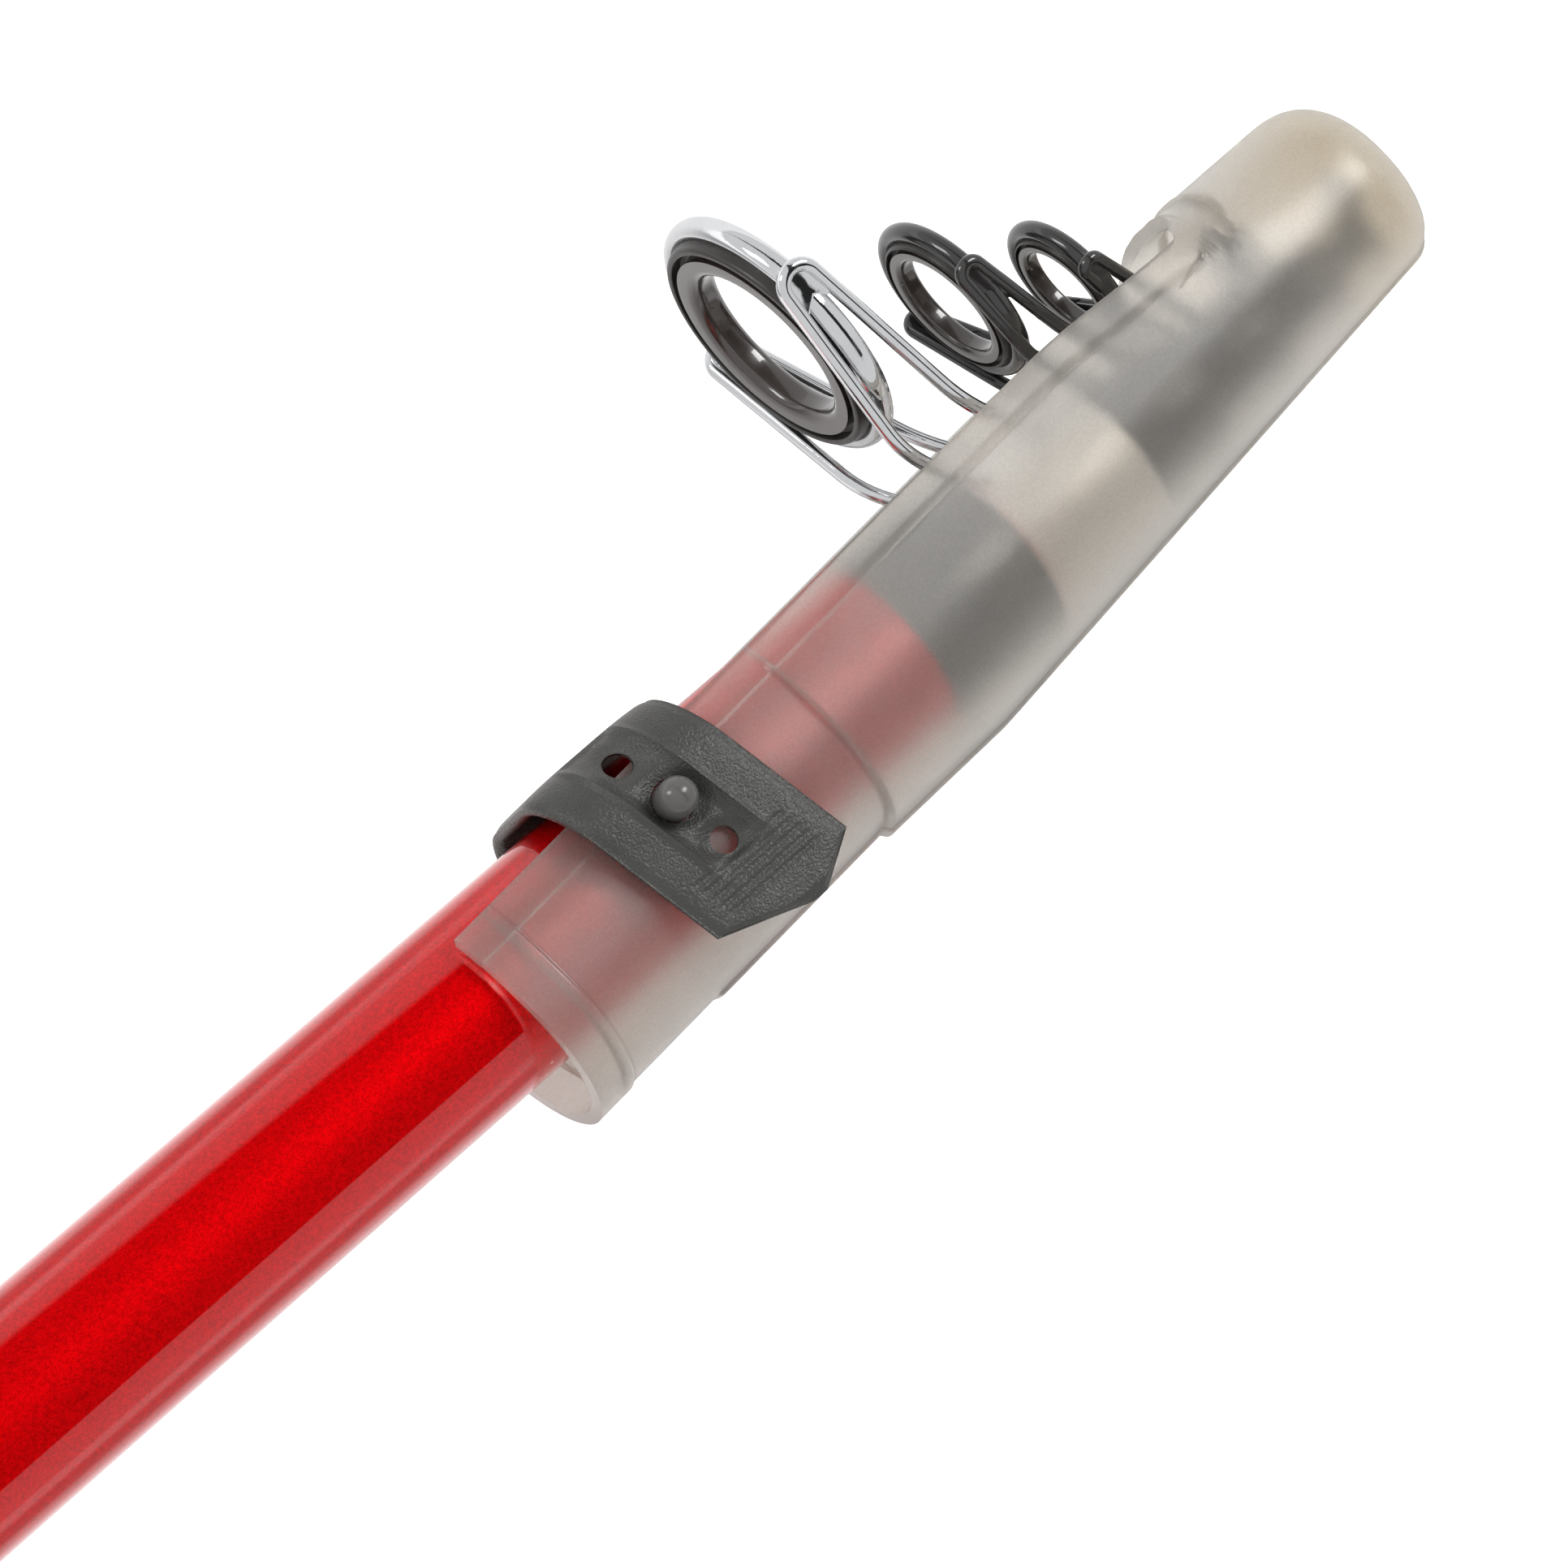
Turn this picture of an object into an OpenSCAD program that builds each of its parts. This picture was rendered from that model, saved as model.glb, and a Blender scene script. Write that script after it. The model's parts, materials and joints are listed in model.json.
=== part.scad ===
// Telescopic fishing rod, closed, with a frosted tip cap strapped over its guides.
// Millimetres. The rod lies along +X with the tip at +X, its guides point to +Y and +Z is up.
// The origin is on the rod's axis at the rear end of the rear grip.

/* [Butt section] */
// x of the butt section's mouth
mouth_x = 430; // [415:1:450]
// outside diameter of the butt blank at its mouth
mouth_d = 14.4; // [14.2:0.05:14.5]
// growth of the butt blank's diameter per mm towards the rear
blank_taper = 0.0095; // [0.0088:0.0001:0.0102]
// wall of the butt blank
blank_wall = 1.1; // [1.05:0.01:1.15]
// length of the black collar at the mouth
collar_len = 11.5; // [9:0.5:13]
// how far the collar stands proud of the blank
collar_proud = 0.3; // [0.15:0.05:0.4]

/* [Handle] */
// radius of the straight rear grip
grip_r = 12.5; // [12.4:0.05:14]
// length of the rear grip
rear_grip_len = 95; // [85:1:100]
// length of the reel seat's tube
seat_len = 102; // [100:1:110]
// outside radius of the reel seat's tube
seat_r = 11; // [10.9:0.05:11.2]
// bore radius of the reel seat's tube
seat_bore_r = 9.4; // [9.35:0.05:9.6]
// length of the fore grip
fore_grip_len = 62; // [50:1:70]
// radius of the fore grip at its front end
fore_grip_front_r = 10.2; // [9.8:0.1:10.6]
// length of the winding check in front of the fore grip
check_len = 4; // [3:0.5:6]

/* [Reel seat hoods] */
// length of the threaded part of the seat
thread_len = 46; // [44:1:48]
// depth of the thread's plain stand-in below the tube
thread_drop = 0.5; // [0.3:0.05:0.7]
// length of the fixed front hood
fixed_hood_len = 17; // [15:0.5:19]
// length of the sliding hood
slide_hood_len = 19; // [17:0.5:20]
// length of the locking nut
nut_len = 12; // [10:0.5:13]
// travel of the sliding hood, under which the deck runs back from the thread's end
hood_travel = 20; // [16:1:21]
// width of the pocket for the reel's foot
pocket_width = 15; // [14:0.25:15.5]
// height of the pocket over the deck
pocket_height = 5; // [4.8:0.1:5.4]
// how far the deck is cut into the seat
deck_drop = 0.8; // [0.6:0.05:1]
// wall over the pocket
hood_wall = 1.6; // [1.3:0.1:2]
// running clearance between seat, hood and nut
hood_clear = 0.3; // [0.2:0.05:0.4]

/* [Butt cap] */
// length of the plug inside the butt blank
plug_len = 10; // [8:0.5:12]
// radius of the plug
plug_r = 7.7; // [7.4:0.05:7.85]
// length of the rubber bumper behind the rear grip
bumper_len = 22; // [18:1:26]
// radius of the bumper
bumper_r = 12.2; // [11.8:0.05:12.3]
// edge radius of the bumper
bumper_edge = 4; // [2:0.5:5]
// thickness of the cushion on the plug
cushion_len = 3; // [2:0.5:4]

/* [Sections] */
// outside diameter of section 2 at its mouth
section_2_d = 11.2; // [11.1:0.05:11.3]
// outside diameter of section 3 at its mouth
section_3_d = 8.7; // [8.6:0.05:8.8]
// outside diameter of section 4 at its mouth
section_4_d = 6.4; // [6.3:0.05:6.5]
// outside diameter of section 5 at its mouth
section_5_d = 4.3; // [4.25:0.05:4.4]
// wall of section 2
section_2_wall = 0.8; // [0.75:0.01:0.85]
// wall of section 3
section_3_wall = 0.75; // [0.7:0.01:0.8]
// wall of section 4
section_4_wall = 0.7; // [0.65:0.01:0.75]
// wall of section 5
section_5_wall = 0.6; // [0.55:0.01:0.65]
// diameter of the solid tip section at its end
tip_d = 2; // [1.8:0.05:2.4]
// radial clearance of a section's base in the mouth around it
seat_clear = 0.1; // [0.06:0.01:0.16]
// length of base that stays inside when a section is out
seat_overlap = 40; // [36:1:46]
// gap behind the sections' bases
base_gap = 1; // [0.5:0.5:2]
// axial gap between stacked sleeves
stack_gap = 0.3; // [0.2:0.05:0.4]

/* [Guides] */
// length of the sleeve of guide 1
guide_1_sleeve_len = 12.2; // [11.9:0.1:12.5]
// wall of the sleeve of guide 1
guide_1_sleeve_wall = 0.8; // [0.75:0.01:0.85]
// x of the ring's middle of guide 1 from its sleeve's rear end
guide_1_ring_back = -1.9; // [-2.2:0.1:-1.6]
// height of the ring's middle of guide 1 over the axis
guide_1_ring_height = 23.9; // [23.7:0.05:24.1]
// outside radius of the hoop of guide 1
guide_1_ring_r = 11.45; // [11.35:0.05:11.55]
// radius of the hole of guide 1
guide_1_hole_r = 6.95; // [6.85:0.05:7.05]
// diameter of the wires of guide 1
guide_1_wire_d = 1.2; // [1.15:0.01:1.25]
// length of the sleeve of guide 2
guide_2_sleeve_len = 8.2; // [7.9:0.1:8.5]
// wall of the sleeve of guide 2
guide_2_sleeve_wall = 0.75; // [0.7:0.01:0.8]
// x of the ring's middle of guide 2 from its sleeve's rear end
guide_2_ring_back = -1.5; // [-1.8:0.1:-1.2]
// height of the ring's middle of guide 2 over the axis
guide_2_ring_height = 17.1; // [16.9:0.05:17.3]
// outside radius of the hoop of guide 2
guide_2_ring_r = 7.6; // [7.5:0.05:7.7]
// radius of the hole of guide 2
guide_2_hole_r = 4.6; // [4.5:0.05:4.7]
// diameter of the wires of guide 2
guide_2_wire_d = 1.15; // [1.1:0.01:1.2]
// length of the sleeve of guide 3
guide_3_sleeve_len = 8; // [7.7:0.1:8.3]
// wall of the sleeve of guide 3
guide_3_sleeve_wall = 0.75; // [0.7:0.01:0.8]
// x of the ring's middle of guide 3 from its sleeve's rear end
guide_3_ring_back = -1.9; // [-2.2:0.1:-1.6]
// height of the ring's middle of guide 3 over the axis
guide_3_ring_height = 12.2; // [12:0.05:12.4]
// outside radius of the hoop of guide 3
guide_3_ring_r = 6.2; // [6.1:0.05:6.3]
// radius of the hole of guide 3
guide_3_hole_r = 3.7; // [3.6:0.05:3.8]
// diameter of the wires of guide 3
guide_3_wire_d = 1.1; // [1.05:0.01:1.15]
// length of the sleeve of guide 4
guide_4_sleeve_len = 6.8; // [6.5:0.1:7.1]
// wall of the sleeve of guide 4
guide_4_sleeve_wall = 0.75; // [0.7:0.01:0.8]
// x of the ring's middle of guide 4 from its sleeve's rear end
guide_4_ring_back = 1.1; // [0.8:0.1:1.4]
// height of the ring's middle of guide 4 over the axis
guide_4_ring_height = 6.3; // [6.1:0.05:6.5]
// outside radius of the hoop of guide 4
guide_4_ring_r = 2.9; // [2.8:0.05:3]
// radius of the hole of guide 4
guide_4_hole_r = 1.5; // [1.4:0.05:1.6]
// diameter of the wires of guide 4
guide_4_wire_d = 0.8; // [0.75:0.01:0.85]
// tilt of the rings of guides 1 to 3 in degrees, tops towards the butt
ring_tilt = 4; // [2:0.5:5]
// depth of the ceramic insert as a share of the hoop's radius
insert_share = 0.15; // [0.14:0.005:0.16]
// height of the tip ring's middle over the axis
tip_ring_height = 3.5; // [3.4:0.05:3.7]
// outside radius of the tip ring's hoop
tip_ring_r = 2.3; // [2.2:0.05:2.35]
// hole radius of the tip ring
tip_hole_r = 1.1; // [1:0.05:1.15]
// length of the tip-top's tube
tip_tube_len = 4.6; // [4.2:0.1:4.8]

/* [Tip cap] */
// room from the tip ring's middle to the cap's closed end
cap_end_room = 3.64; // [3.4:0.02:4.1]
// y of the cap's middle line at its closed end
cap_end_y = 4.108; // [4:0.002:4.2]
// tilt of the cap towards the guides in degrees
cap_tilt = 4.15; // [4:0.05:4.3]
// length of the cap
cap_len = 99.6; // [96:0.1:103]
// wall of the cap
cap_wall = 1.1; // [1:0.02:1.14]
// half width of the cap behind its step
cap_half = 9; // [8.95:0.05:9.1]
// half width of the cap in front of its step
cap_half_front = 9.35; // [9.25:0.05:9.5]
// depth of the back at the mouth
cap_depth = 9.2; // [9:0.05:9.4]
// depth of the back at the knee
knee_depth = 10.25; // [10.1:0.05:10.5]
// depth of the back at the end
end_depth = 7.7; // [7.6:0.05:7.9]
// length of the wider front part, from the step to the closed end
front_len = 67.6; // [65.6:0.5:69.6]
// height of the step
step_rise = 0.6; // [0.45:0.05:0.75]
// length from the knee of the back to the closed end
knee_len = 54.6; // [53.6:0.5:56.6]
// length of the hood over the tip
hood_len = 16.6; // [15.6:0.25:17.6]
// height of the slot's edges over the cap's middle line
slot_edge = 8; // [7.8:0.05:8.2]
// height of the hood over the cap's middle line
hood_top = 8.9; // [8.8:0.05:9.1]
// height of the rib along the cap's back
rib_rise = 0.3; // [0.2:0.05:0.5]
// width of the thick band at the mouth
mouth_band = 3.8; // [3:0.1:5]
// start of the rib along the cap's back, from the mouth
rib_start = 13; // [10:0.5:16]
// radius of the slot's corner at the hood
ear_r = 2.2; // [2:0.05:2.4]
// how far the slot's edges dip before the hood
ear_dip = 1.3; // [1:0.05:1.4]

/* [Strap] */
// width of the rubber strap
strap_width = 13.4; // [12.8:0.1:14]
// thickness of the strap
strap_thick = 1.3; // [1.2:0.05:1.5]
// x of the pin from the cap's mouth
pin_back = 18.7; // [18.2:0.1:19.2]
// y of the pin
pin_y = 2; // [1.6:0.1:2.3]
// diameter of the pin
pin_d = 3.2; // [3:0.05:3.3]
// length of the pin over the strap
pin_proud = 2.2; // [1.8:0.1:2.6]
// clearance around the pin in the strap
pin_clear = 0.15; // [0.1:0.05:0.2]
// skew of the strap on the cap in degrees
strap_skew = 12; // [10:0.5:13]
// inner half width of the strap's loop
strap_half = 9.4; // [9.35:0.05:9.5]
// inner height of the strap over the axis
strap_top = 8.15; // [8.1:0.05:8.3]
// y of the strap's free end
strap_end_y = -10.6; // [-11:0.1:-10]
// corner radius of the strap's loop
strap_corner = 5.3; // [5:0.1:5.4]
// diameter of the strap's free holes
free_hole_d = 2.5; // [2.3:0.1:2.9]
// spacing of the strap's holes
hole_pitch = 4.7; // [4.6:0.05:4.9]

/* [Hidden] */
$fn = 64;
section_d = [section_2_d, section_3_d, section_4_d, section_5_d];
section_wall = [section_2_wall, section_3_wall, section_4_wall, section_5_wall];
sleeve_len = [guide_1_sleeve_len, guide_2_sleeve_len, guide_3_sleeve_len, guide_4_sleeve_len];
sleeve_wall = [guide_1_sleeve_wall, guide_2_sleeve_wall, guide_3_sleeve_wall, guide_4_sleeve_wall];
ring_back = [guide_1_ring_back, guide_2_ring_back, guide_3_ring_back, guide_4_ring_back];
ring_height = [guide_1_ring_height, guide_2_ring_height, guide_3_ring_height, guide_4_ring_height];
ring_r = [guide_1_ring_r, guide_2_ring_r, guide_3_ring_r, guide_4_ring_r];
hole_r = [guide_1_hole_r, guide_2_hole_r, guide_3_hole_r, guide_4_hole_r];
wire_d = [guide_1_wire_d, guide_2_wire_d, guide_3_wire_d, guide_4_wire_d];
// height and place of each hairpin's apex, as shares of its hoop's radius
apex_rise = [0.24, 0.17, 0.07, 0.2];
apex_shift = [-0.13, -0.18, -0.15, 0];
// x of each rear leg's knee from its sleeve's rear end
knee_ahead = [-2.6, -1.2, -1, 1.3];
// height of each knee over its sleeve, as a share of the way to its ring
knee_rise = [0.17, 0.32, 0.5, 0.12];
// distance of each knee from the guide's plane, as a share of its hoop's radius
knee_out = [0.52, 0.52, 0.52, 0.6];
// radius of each hairpin's bend, as a share of its wire's diameter
bend_share = [1.3, 0.78, 0.68, 0.72];
// how far each web reaches down between the legs of its hairpin
web_share = [0.12, 0.3, 0.3, 0.3];
// share of a ring's width that its insert takes
insert_width = [0.42, 0.34, 0.3];
seat_x = rear_grip_len + 0.5;
fore_grip_x = seat_x + seat_len + 0.5;
check_x = fore_grip_x + fore_grip_len;
plug_face_x = plug_len + cushion_len;
base_x = plug_face_x + base_gap;
collar_r = mouth_d / 2 + collar_proud;
deck_y = seat_r - deck_drop;
nut_x = seat_x + 2;
hood_x = nut_x + nut_len + 0.3;
fixed_hood_x = seat_x + seat_len - fixed_hood_len;
hood_ring_r = seat_r + hood_clear + 1.15;
hood_arch_r = 20;
pocket_top_y = deck_y + pocket_height;
hood_stop = 6.5;
strap_gap = 0.05;
strap_mid = strap_half + strap_thick / 2;
strap_rise = strap_top + strap_thick / 2;
strap_bend = strap_corner + strap_thick / 2;
strap_far_y = pin_y - 4;
strap_drop_y = strap_rise - strap_bend;
strap_point = 2.6;
// place of the strap's blunt point from its middle, and half its width
strap_apex = 1.1;
strap_blunt = 0.7;
// lengths along the cap from its mouth, and the place of its mouth
step_s = cap_len - front_len;
knee_s = cap_len - knee_len;
hood_s = cap_len - hood_len;
step_run = 0.6;
rib_run = 1;
hood_run = 14;
// fall of the hood's top to the closed end
hood_fall = 1;
// length of the rounding at the back of the closed end, as a share of that at the hood
back_dome = 0.6;
tip_x = sleeve_x(5);
tip_ring_x = tip_x + tip_tube_len + 0.2;
cap_x = tip_ring_x + cap_end_room - cap_len * cos(cap_tilt);
cap_y = cap_end_y - cap_len * sin(cap_tilt);
strap_mid_x = cap_x + pin_back;
tip_tube_r = 1.8;
tip_wire_r = 0.35;

// Colours
red = [0.72, 0.02, 0.03];
black = [0.06, 0.06, 0.06];
steel = [0.86, 0.87, 0.88];
grey = [0.28, 0.28, 0.27];
frost = [0.75, 0.72, 0.68];
glass_fibre = [0.16, 0.16, 0.17];

// Outside diameter of the butt blank at a place on the axis
function blank_d(x) = mouth_d + (mouth_x - x) * blank_taper;
// Diameter of the bore at the mouth of section k, where k = 0 is the butt
function bore_at_mouth(k) = k == 0 ? mouth_d - 2 * blank_wall : section_d[k - 1] - 2 * section_wall[k - 1];
// Diameter of the base of section k, which stops in the mouth around it
function base_d(k) = bore_at_mouth(k - 1) - 2 * seat_clear;
// Rear end of the sleeve of section k
function sleeve_x(k) = k == 1 ? mouth_x + stack_gap : sleeve_x(k - 1) + sleeve_len[k - 2] + stack_gap;
// Outside radius of the sleeve of section k
function sleeve_r(k) = section_d[k - 1] / 2 + sleeve_wall[k - 1];
// Front end of section k
function mouth_of(k) = sleeve_x(k) + sleeve_len[k - 1];
// Middle of the ring of guide k
function ring_x(k) = sleeve_x(k) + ring_back[k - 1];

// Turns what is built along +Z so that it points along +X
module along_x(x) {
  translate([x, 0, 0]) rotate([0, 90, 0]) children();
}

// Plain rod or cone along X
module x_rod(x0, x1, d0, d1) {
  along_x(x0) cylinder(h = x1 - x0, d1 = d0, d2 = d1);
}

// Tube along X with a bore that runs past both ends
module x_tube(x0, x1, d0, d1, b0, b1) {
  slope = (b1 - b0) / (x1 - x0);
  difference() {
    x_rod(x0, x1, d0, d1);
    x_rod(x0 - 1, x1 + 1, b0 - slope, b1 + slope);
  }
}

// Bore of the butt blank, as a cutter
module blank_hole(x0, x1) {
  x_rod(x0, x1, blank_d(x0), blank_d(x1));
}

module butt_blank() {
  inner = 2 * blank_wall;
  color(red) x_tube(0, mouth_x, blank_d(0), mouth_d, blank_d(0) - inner, mouth_d - inner);
}

module mouth_collar() {
  edge = 0.4;
  x0 = mouth_x - collar_len;
  color(black) difference() {
    union() {
      x_rod(x0, x0 + edge, blank_d(x0) + 0.1, 2 * collar_r);
      x_rod(x0 + edge, mouth_x - edge, 2 * collar_r, 2 * collar_r);
      x_rod(mouth_x - edge, mouth_x, 2 * collar_r, 2 * collar_r - edge);
    }
    blank_hole(x0 - 1, mouth_x + 1);
  }
}

module rear_grip() {
  color(black) difference() {
    x_rod(0, rear_grip_len, 2 * grip_r, 2 * grip_r);
    blank_hole(-1, rear_grip_len + 1);
  }
}

module fore_grip() {
  edge = 2;
  x1 = fore_grip_x + fore_grip_len;
  color(black) difference() {
    union() {
      x_rod(fore_grip_x, fore_grip_x + edge, 2 * seat_r + 0.6, 2 * grip_r);
      x_rod(fore_grip_x + edge, x1, 2 * grip_r, 2 * fore_grip_front_r);
    }
    blank_hole(fore_grip_x - 1, x1 + 1);
  }
}

module winding_check() {
  x1 = check_x + check_len;
  lip = 1;
  color(steel) difference() {
    union() {
      x_rod(check_x, check_x + lip, 2 * fore_grip_front_r + 0.6, 2 * fore_grip_front_r + 0.6);
      x_rod(check_x + lip, x1, 2 * fore_grip_front_r - 0.4, blank_d(x1) + 1.2);
    }
    blank_hole(check_x - 1, x1 + 1);
  }
}

module reel_seat() {
  thread_r = seat_r - thread_drop;
  x_thread = seat_x + thread_len;
  x1 = seat_x + seat_len;
  color(black) difference() {
    union() {
      x_rod(seat_x, x_thread, 2 * thread_r, 2 * thread_r);
      x_rod(x_thread, x1, 2 * seat_r, 2 * seat_r);
    }
    x_rod(seat_x - 1, x1 + 1, 2 * seat_bore_r, 2 * seat_bore_r);
    // flat deck for the reel's foot
    translate([x_thread - hood_travel, deck_y, -seat_r]) cube([seat_len, seat_r, 2 * seat_r]);
  }
}

module seat_arbors() {
  ring_len = 22;
  color(grey) for (i = [0:2]) {
    x0 = seat_x + 4 + i * (seat_len - 8 - ring_len) / 2;
    difference() {
      x_rod(x0, x0 + ring_len, 2 * seat_bore_r, 2 * seat_bore_r);
      blank_hole(x0 - 1, x0 + ring_len + 1);
    }
  }
}

// Block over the deck with an arched top of radius r
module hood_arch(x0, len, width, top, r) {
  intersection() {
    translate([x0, 0, -width / 2]) cube([len, top + 1, width]);
    translate([0, top - r, 0]) x_rod(x0, x0 + len, 2 * r, 2 * r);
  }
}

// Hood with a hump over the deck; its closed end slopes down to the ring
module hood_body(x0, len, closed_x, slope) {
  width = pocket_width + 2 * hood_wall;
  difference() {
    union() {
      x_rod(x0, x0 + len, 2 * hood_ring_r, 2 * hood_ring_r);
      hood_arch(x0, len, width, pocket_top_y + hood_wall, hood_arch_r);
    }
    translate([closed_x, hood_ring_r + 0.4, -width]) rotate([0, 0, slope])
      translate([-20, 0, 0]) cube([40, 20, 2 * width]);
  }
}

module fixed_hood() {
  x0 = fixed_hood_x;
  len = fixed_hood_len;
  color(black) difference() {
    hood_body(x0, len, x0 + len, -35);
    x_rod(x0 - 1, x0 + len + 1, 2 * seat_r, 2 * seat_r);
    hood_arch(x0 - 1, len - hood_stop + 1, pocket_width, pocket_top_y, hood_arch_r - hood_wall);
  }
}

module sliding_hood() {
  bore = seat_r + hood_clear;
  color(black) difference() {
    hood_body(hood_x, slide_hood_len, hood_x, 35);
    x_rod(hood_x - 1, hood_x + slide_hood_len + 1, 2 * bore, 2 * bore);
    hood_arch(hood_x + hood_stop, slide_hood_len, pocket_width, pocket_top_y, hood_arch_r - hood_wall);
  }
}

module lock_nut() {
  bore = seat_r + hood_clear;
  outer = seat_r + hood_clear + 1.15;
  flutes = 24;
  color(steel) difference() {
    union() {
      x_rod(nut_x, nut_x + 1, 2 * outer - 1.2, 2 * outer);
      x_rod(nut_x + 1, nut_x + nut_len - 1, 2 * outer, 2 * outer);
      x_rod(nut_x + nut_len - 1, nut_x + nut_len, 2 * outer, 2 * outer - 1.2);
    }
    x_rod(nut_x - 1, nut_x + nut_len + 1, 2 * bore, 2 * bore);
    // finger flutes
    for (i = [0:flutes - 1])
      rotate([i * 360 / flutes, 0, 0]) translate([0, outer + 0.6, 0])
        x_rod(nut_x + 2, nut_x + nut_len - 2, 2.2, 2.2);
  }
}

module butt_cushion() {
  color(grey) x_rod(plug_len, plug_len + cushion_len, 2 * plug_r - 0.6, 2 * plug_r - 0.6);
}

module butt_plug() {
  color(black) union() {
    x_rod(0, plug_len, 2 * plug_r, 2 * plug_r);
    x_rod(-6, 0, 2 * plug_r + 1.4, 2 * plug_r + 1.4);
  }
}

module butt_bumper() {
  color(black) difference() {
    along_x(0) rotate_extrude() union() {
      translate([0, -bumper_len + bumper_edge]) square([bumper_r, bumper_len - bumper_edge - 0.3]);
      translate([0, -bumper_len]) square([bumper_r - bumper_edge, bumper_edge + 0.01]);
      intersection() {
        translate([bumper_r - bumper_edge, -bumper_len + bumper_edge]) circle(r = bumper_edge);
        translate([0, -bumper_len]) square([bumper_r, bumper_len]);
      }
    }
    x_rod(-6, 1, 2 * plug_r + 1.4, 2 * plug_r + 1.4);
    // two finger grooves round the bumper
    for (g = [8.5, 12])
      along_x(-g) rotate_extrude() translate([bumper_r + 0.35, 0]) circle(r = 0.9);
  }
}

// Section k of the rod, a tapered tube with its base seat at the rear
module section_tube(k) {
  x1 = mouth_of(k);
  inner = 2 * section_wall[k - 1];
  seat = seat_overlap * 0.6;
  color(glass_fibre) difference() {
    union() {
      x_rod(base_x, base_x + seat, base_d(k), base_d(k));
      x_rod(base_x + seat, x1, base_d(k), section_d[k - 1]);
    }
    x_rod(base_x - 1, x1 + 1, base_d(k) - inner, section_d[k - 1] - inner);
  }
}

module tip_section() {
  x0 = base_x;
  x1 = sleeve_x(5) + tip_tube_len - 0.6;
  seat = seat_overlap * 0.6;
  color(glass_fibre) union() {
    x_rod(x0, x0 + seat, base_d(5), base_d(5));
    x_rod(x0 + seat, x1, base_d(5), tip_d);
  }
}

// Sleeve that carries the guide of section k
module guide_sleeve(k, paint) {
  x0 = sleeve_x(k);
  x1 = mouth_of(k);
  outer = 2 * sleeve_r(k);
  edge = 0.5;
  color(paint) difference() {
    union() {
      x_rod(x0, x0 + edge, outer - edge, outer);
      x_rod(x0 + edge, x1 - edge, outer, outer);
      x_rod(x1 - edge, x1, outer, outer - edge);
    }
    slope = (base_d(k) - section_d[k - 1]) / (x1 - base_x - seat_overlap * 0.6);
    x_rod(x0 - 1, x1, section_d[k - 1] + slope * (x1 - x0 + 1), section_d[k - 1]);
    x_rod(x1 - 0.01, x1 + 1, section_d[k - 1], section_d[k - 1]);
  }
}

// Point on a smooth curve through four points
function blend_point(a, b, c, d, t) =
  0.5 * (2 * b + (c - a) * t + (2 * a - 5 * b + 4 * c - d) * t * t + (3 * b - 3 * c + d - a) * t * t * t);
// Smooth path through a list of points
function smooth_path(p, steps) = [
  for (i = [0:len(p) - 2]) for (j = [0:steps - 1])
    blend_point(p[max(i - 1, 0)], p[i], p[i + 1], p[min(i + 2, len(p) - 1)], j / steps),
  p[len(p) - 1]
];
function unit(v) = v / norm(v);
// Rings of points round a path
function path_rings(p, r, sides, up) = [
  for (i = [0:len(p) - 1])
    let (t = unit(p[min(i + 1, len(p) - 1)] - p[max(i - 1, 0)]))
    let (a = unit(cross(up, t)))
    let (b = cross(t, a))
    for (j = [0:sides - 1]) p[i] + r * (cos(j * 360 / sides) * a + sin(j * 360 / sides) * b)
];
// Faces between rings, with a flat end at each side
function ring_faces(rings, sides) = concat(
  [for (i = [0:rings - 2]) for (j = [0:sides - 1])
    [i * sides + j, i * sides + (j + 1) % sides, (i + 1) * sides + (j + 1) % sides]],
  [for (i = [0:rings - 2]) for (j = [0:sides - 1])
    [i * sides + j, (i + 1) * sides + (j + 1) % sides, (i + 1) * sides + j]],
  [[for (j = [0:sides - 1]) sides - 1 - j]],
  [[for (j = [0:sides - 1]) (rings - 1) * sides + j]]
);

// Round wire along a path
module wire(path, r, up) {
  sides = 10;
  faces = [for (f = ring_faces(len(path), sides)) [for (i = [len(f) - 1:-1:0]) f[i]]];
  polyhedron(points = path_rings(path, r, sides, up), faces = faces);
}

// Foot and knee of the rear leg of one hairpin of guide k
function rear_leg(k) =
  let (f = ring_r[k - 1] / guide_1_ring_r)
  let (rs = sleeve_r(k))
  [
    [sleeve_x(k) + 1.2 * f + wire_d[k - 1] / 2, 0.70 * rs, 0.70 * rs],
    [sleeve_x(k) + knee_ahead[k - 1], leg_low(k), knee_out[k - 1] * ring_r[k - 1]]
  ];
// Foot and knee of the front leg of one hairpin of guide k
function front_leg(k) =
  let (f = ring_r[k - 1] / guide_1_ring_r)
  let (rs = sleeve_r(k))
  let (foot = min(ring_x(k) + 9.9 * f, mouth_of(k) - 1))
  [
    [foot, 0.70 * rs, 0.70 * rs],
    [(foot + ring_x(k)) / 2 + f, leg_low(k), knee_out[k - 1] * ring_r[k - 1]]
  ];
// Path of one leg, from its foot round its knee and straight to the bend
function leg_path(foot, knee, top) =
  let (a = knee + (foot - knee) * 0.6)
  let (b = knee + (top - knee) * 0.2)
  concat(
    [foot],
    [for (i = [0:4]) let (t = i / 4) (1 - t) * (1 - t) * a + 2 * t * (1 - t) * knee + t * t * b],
    [top]
  );
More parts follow.
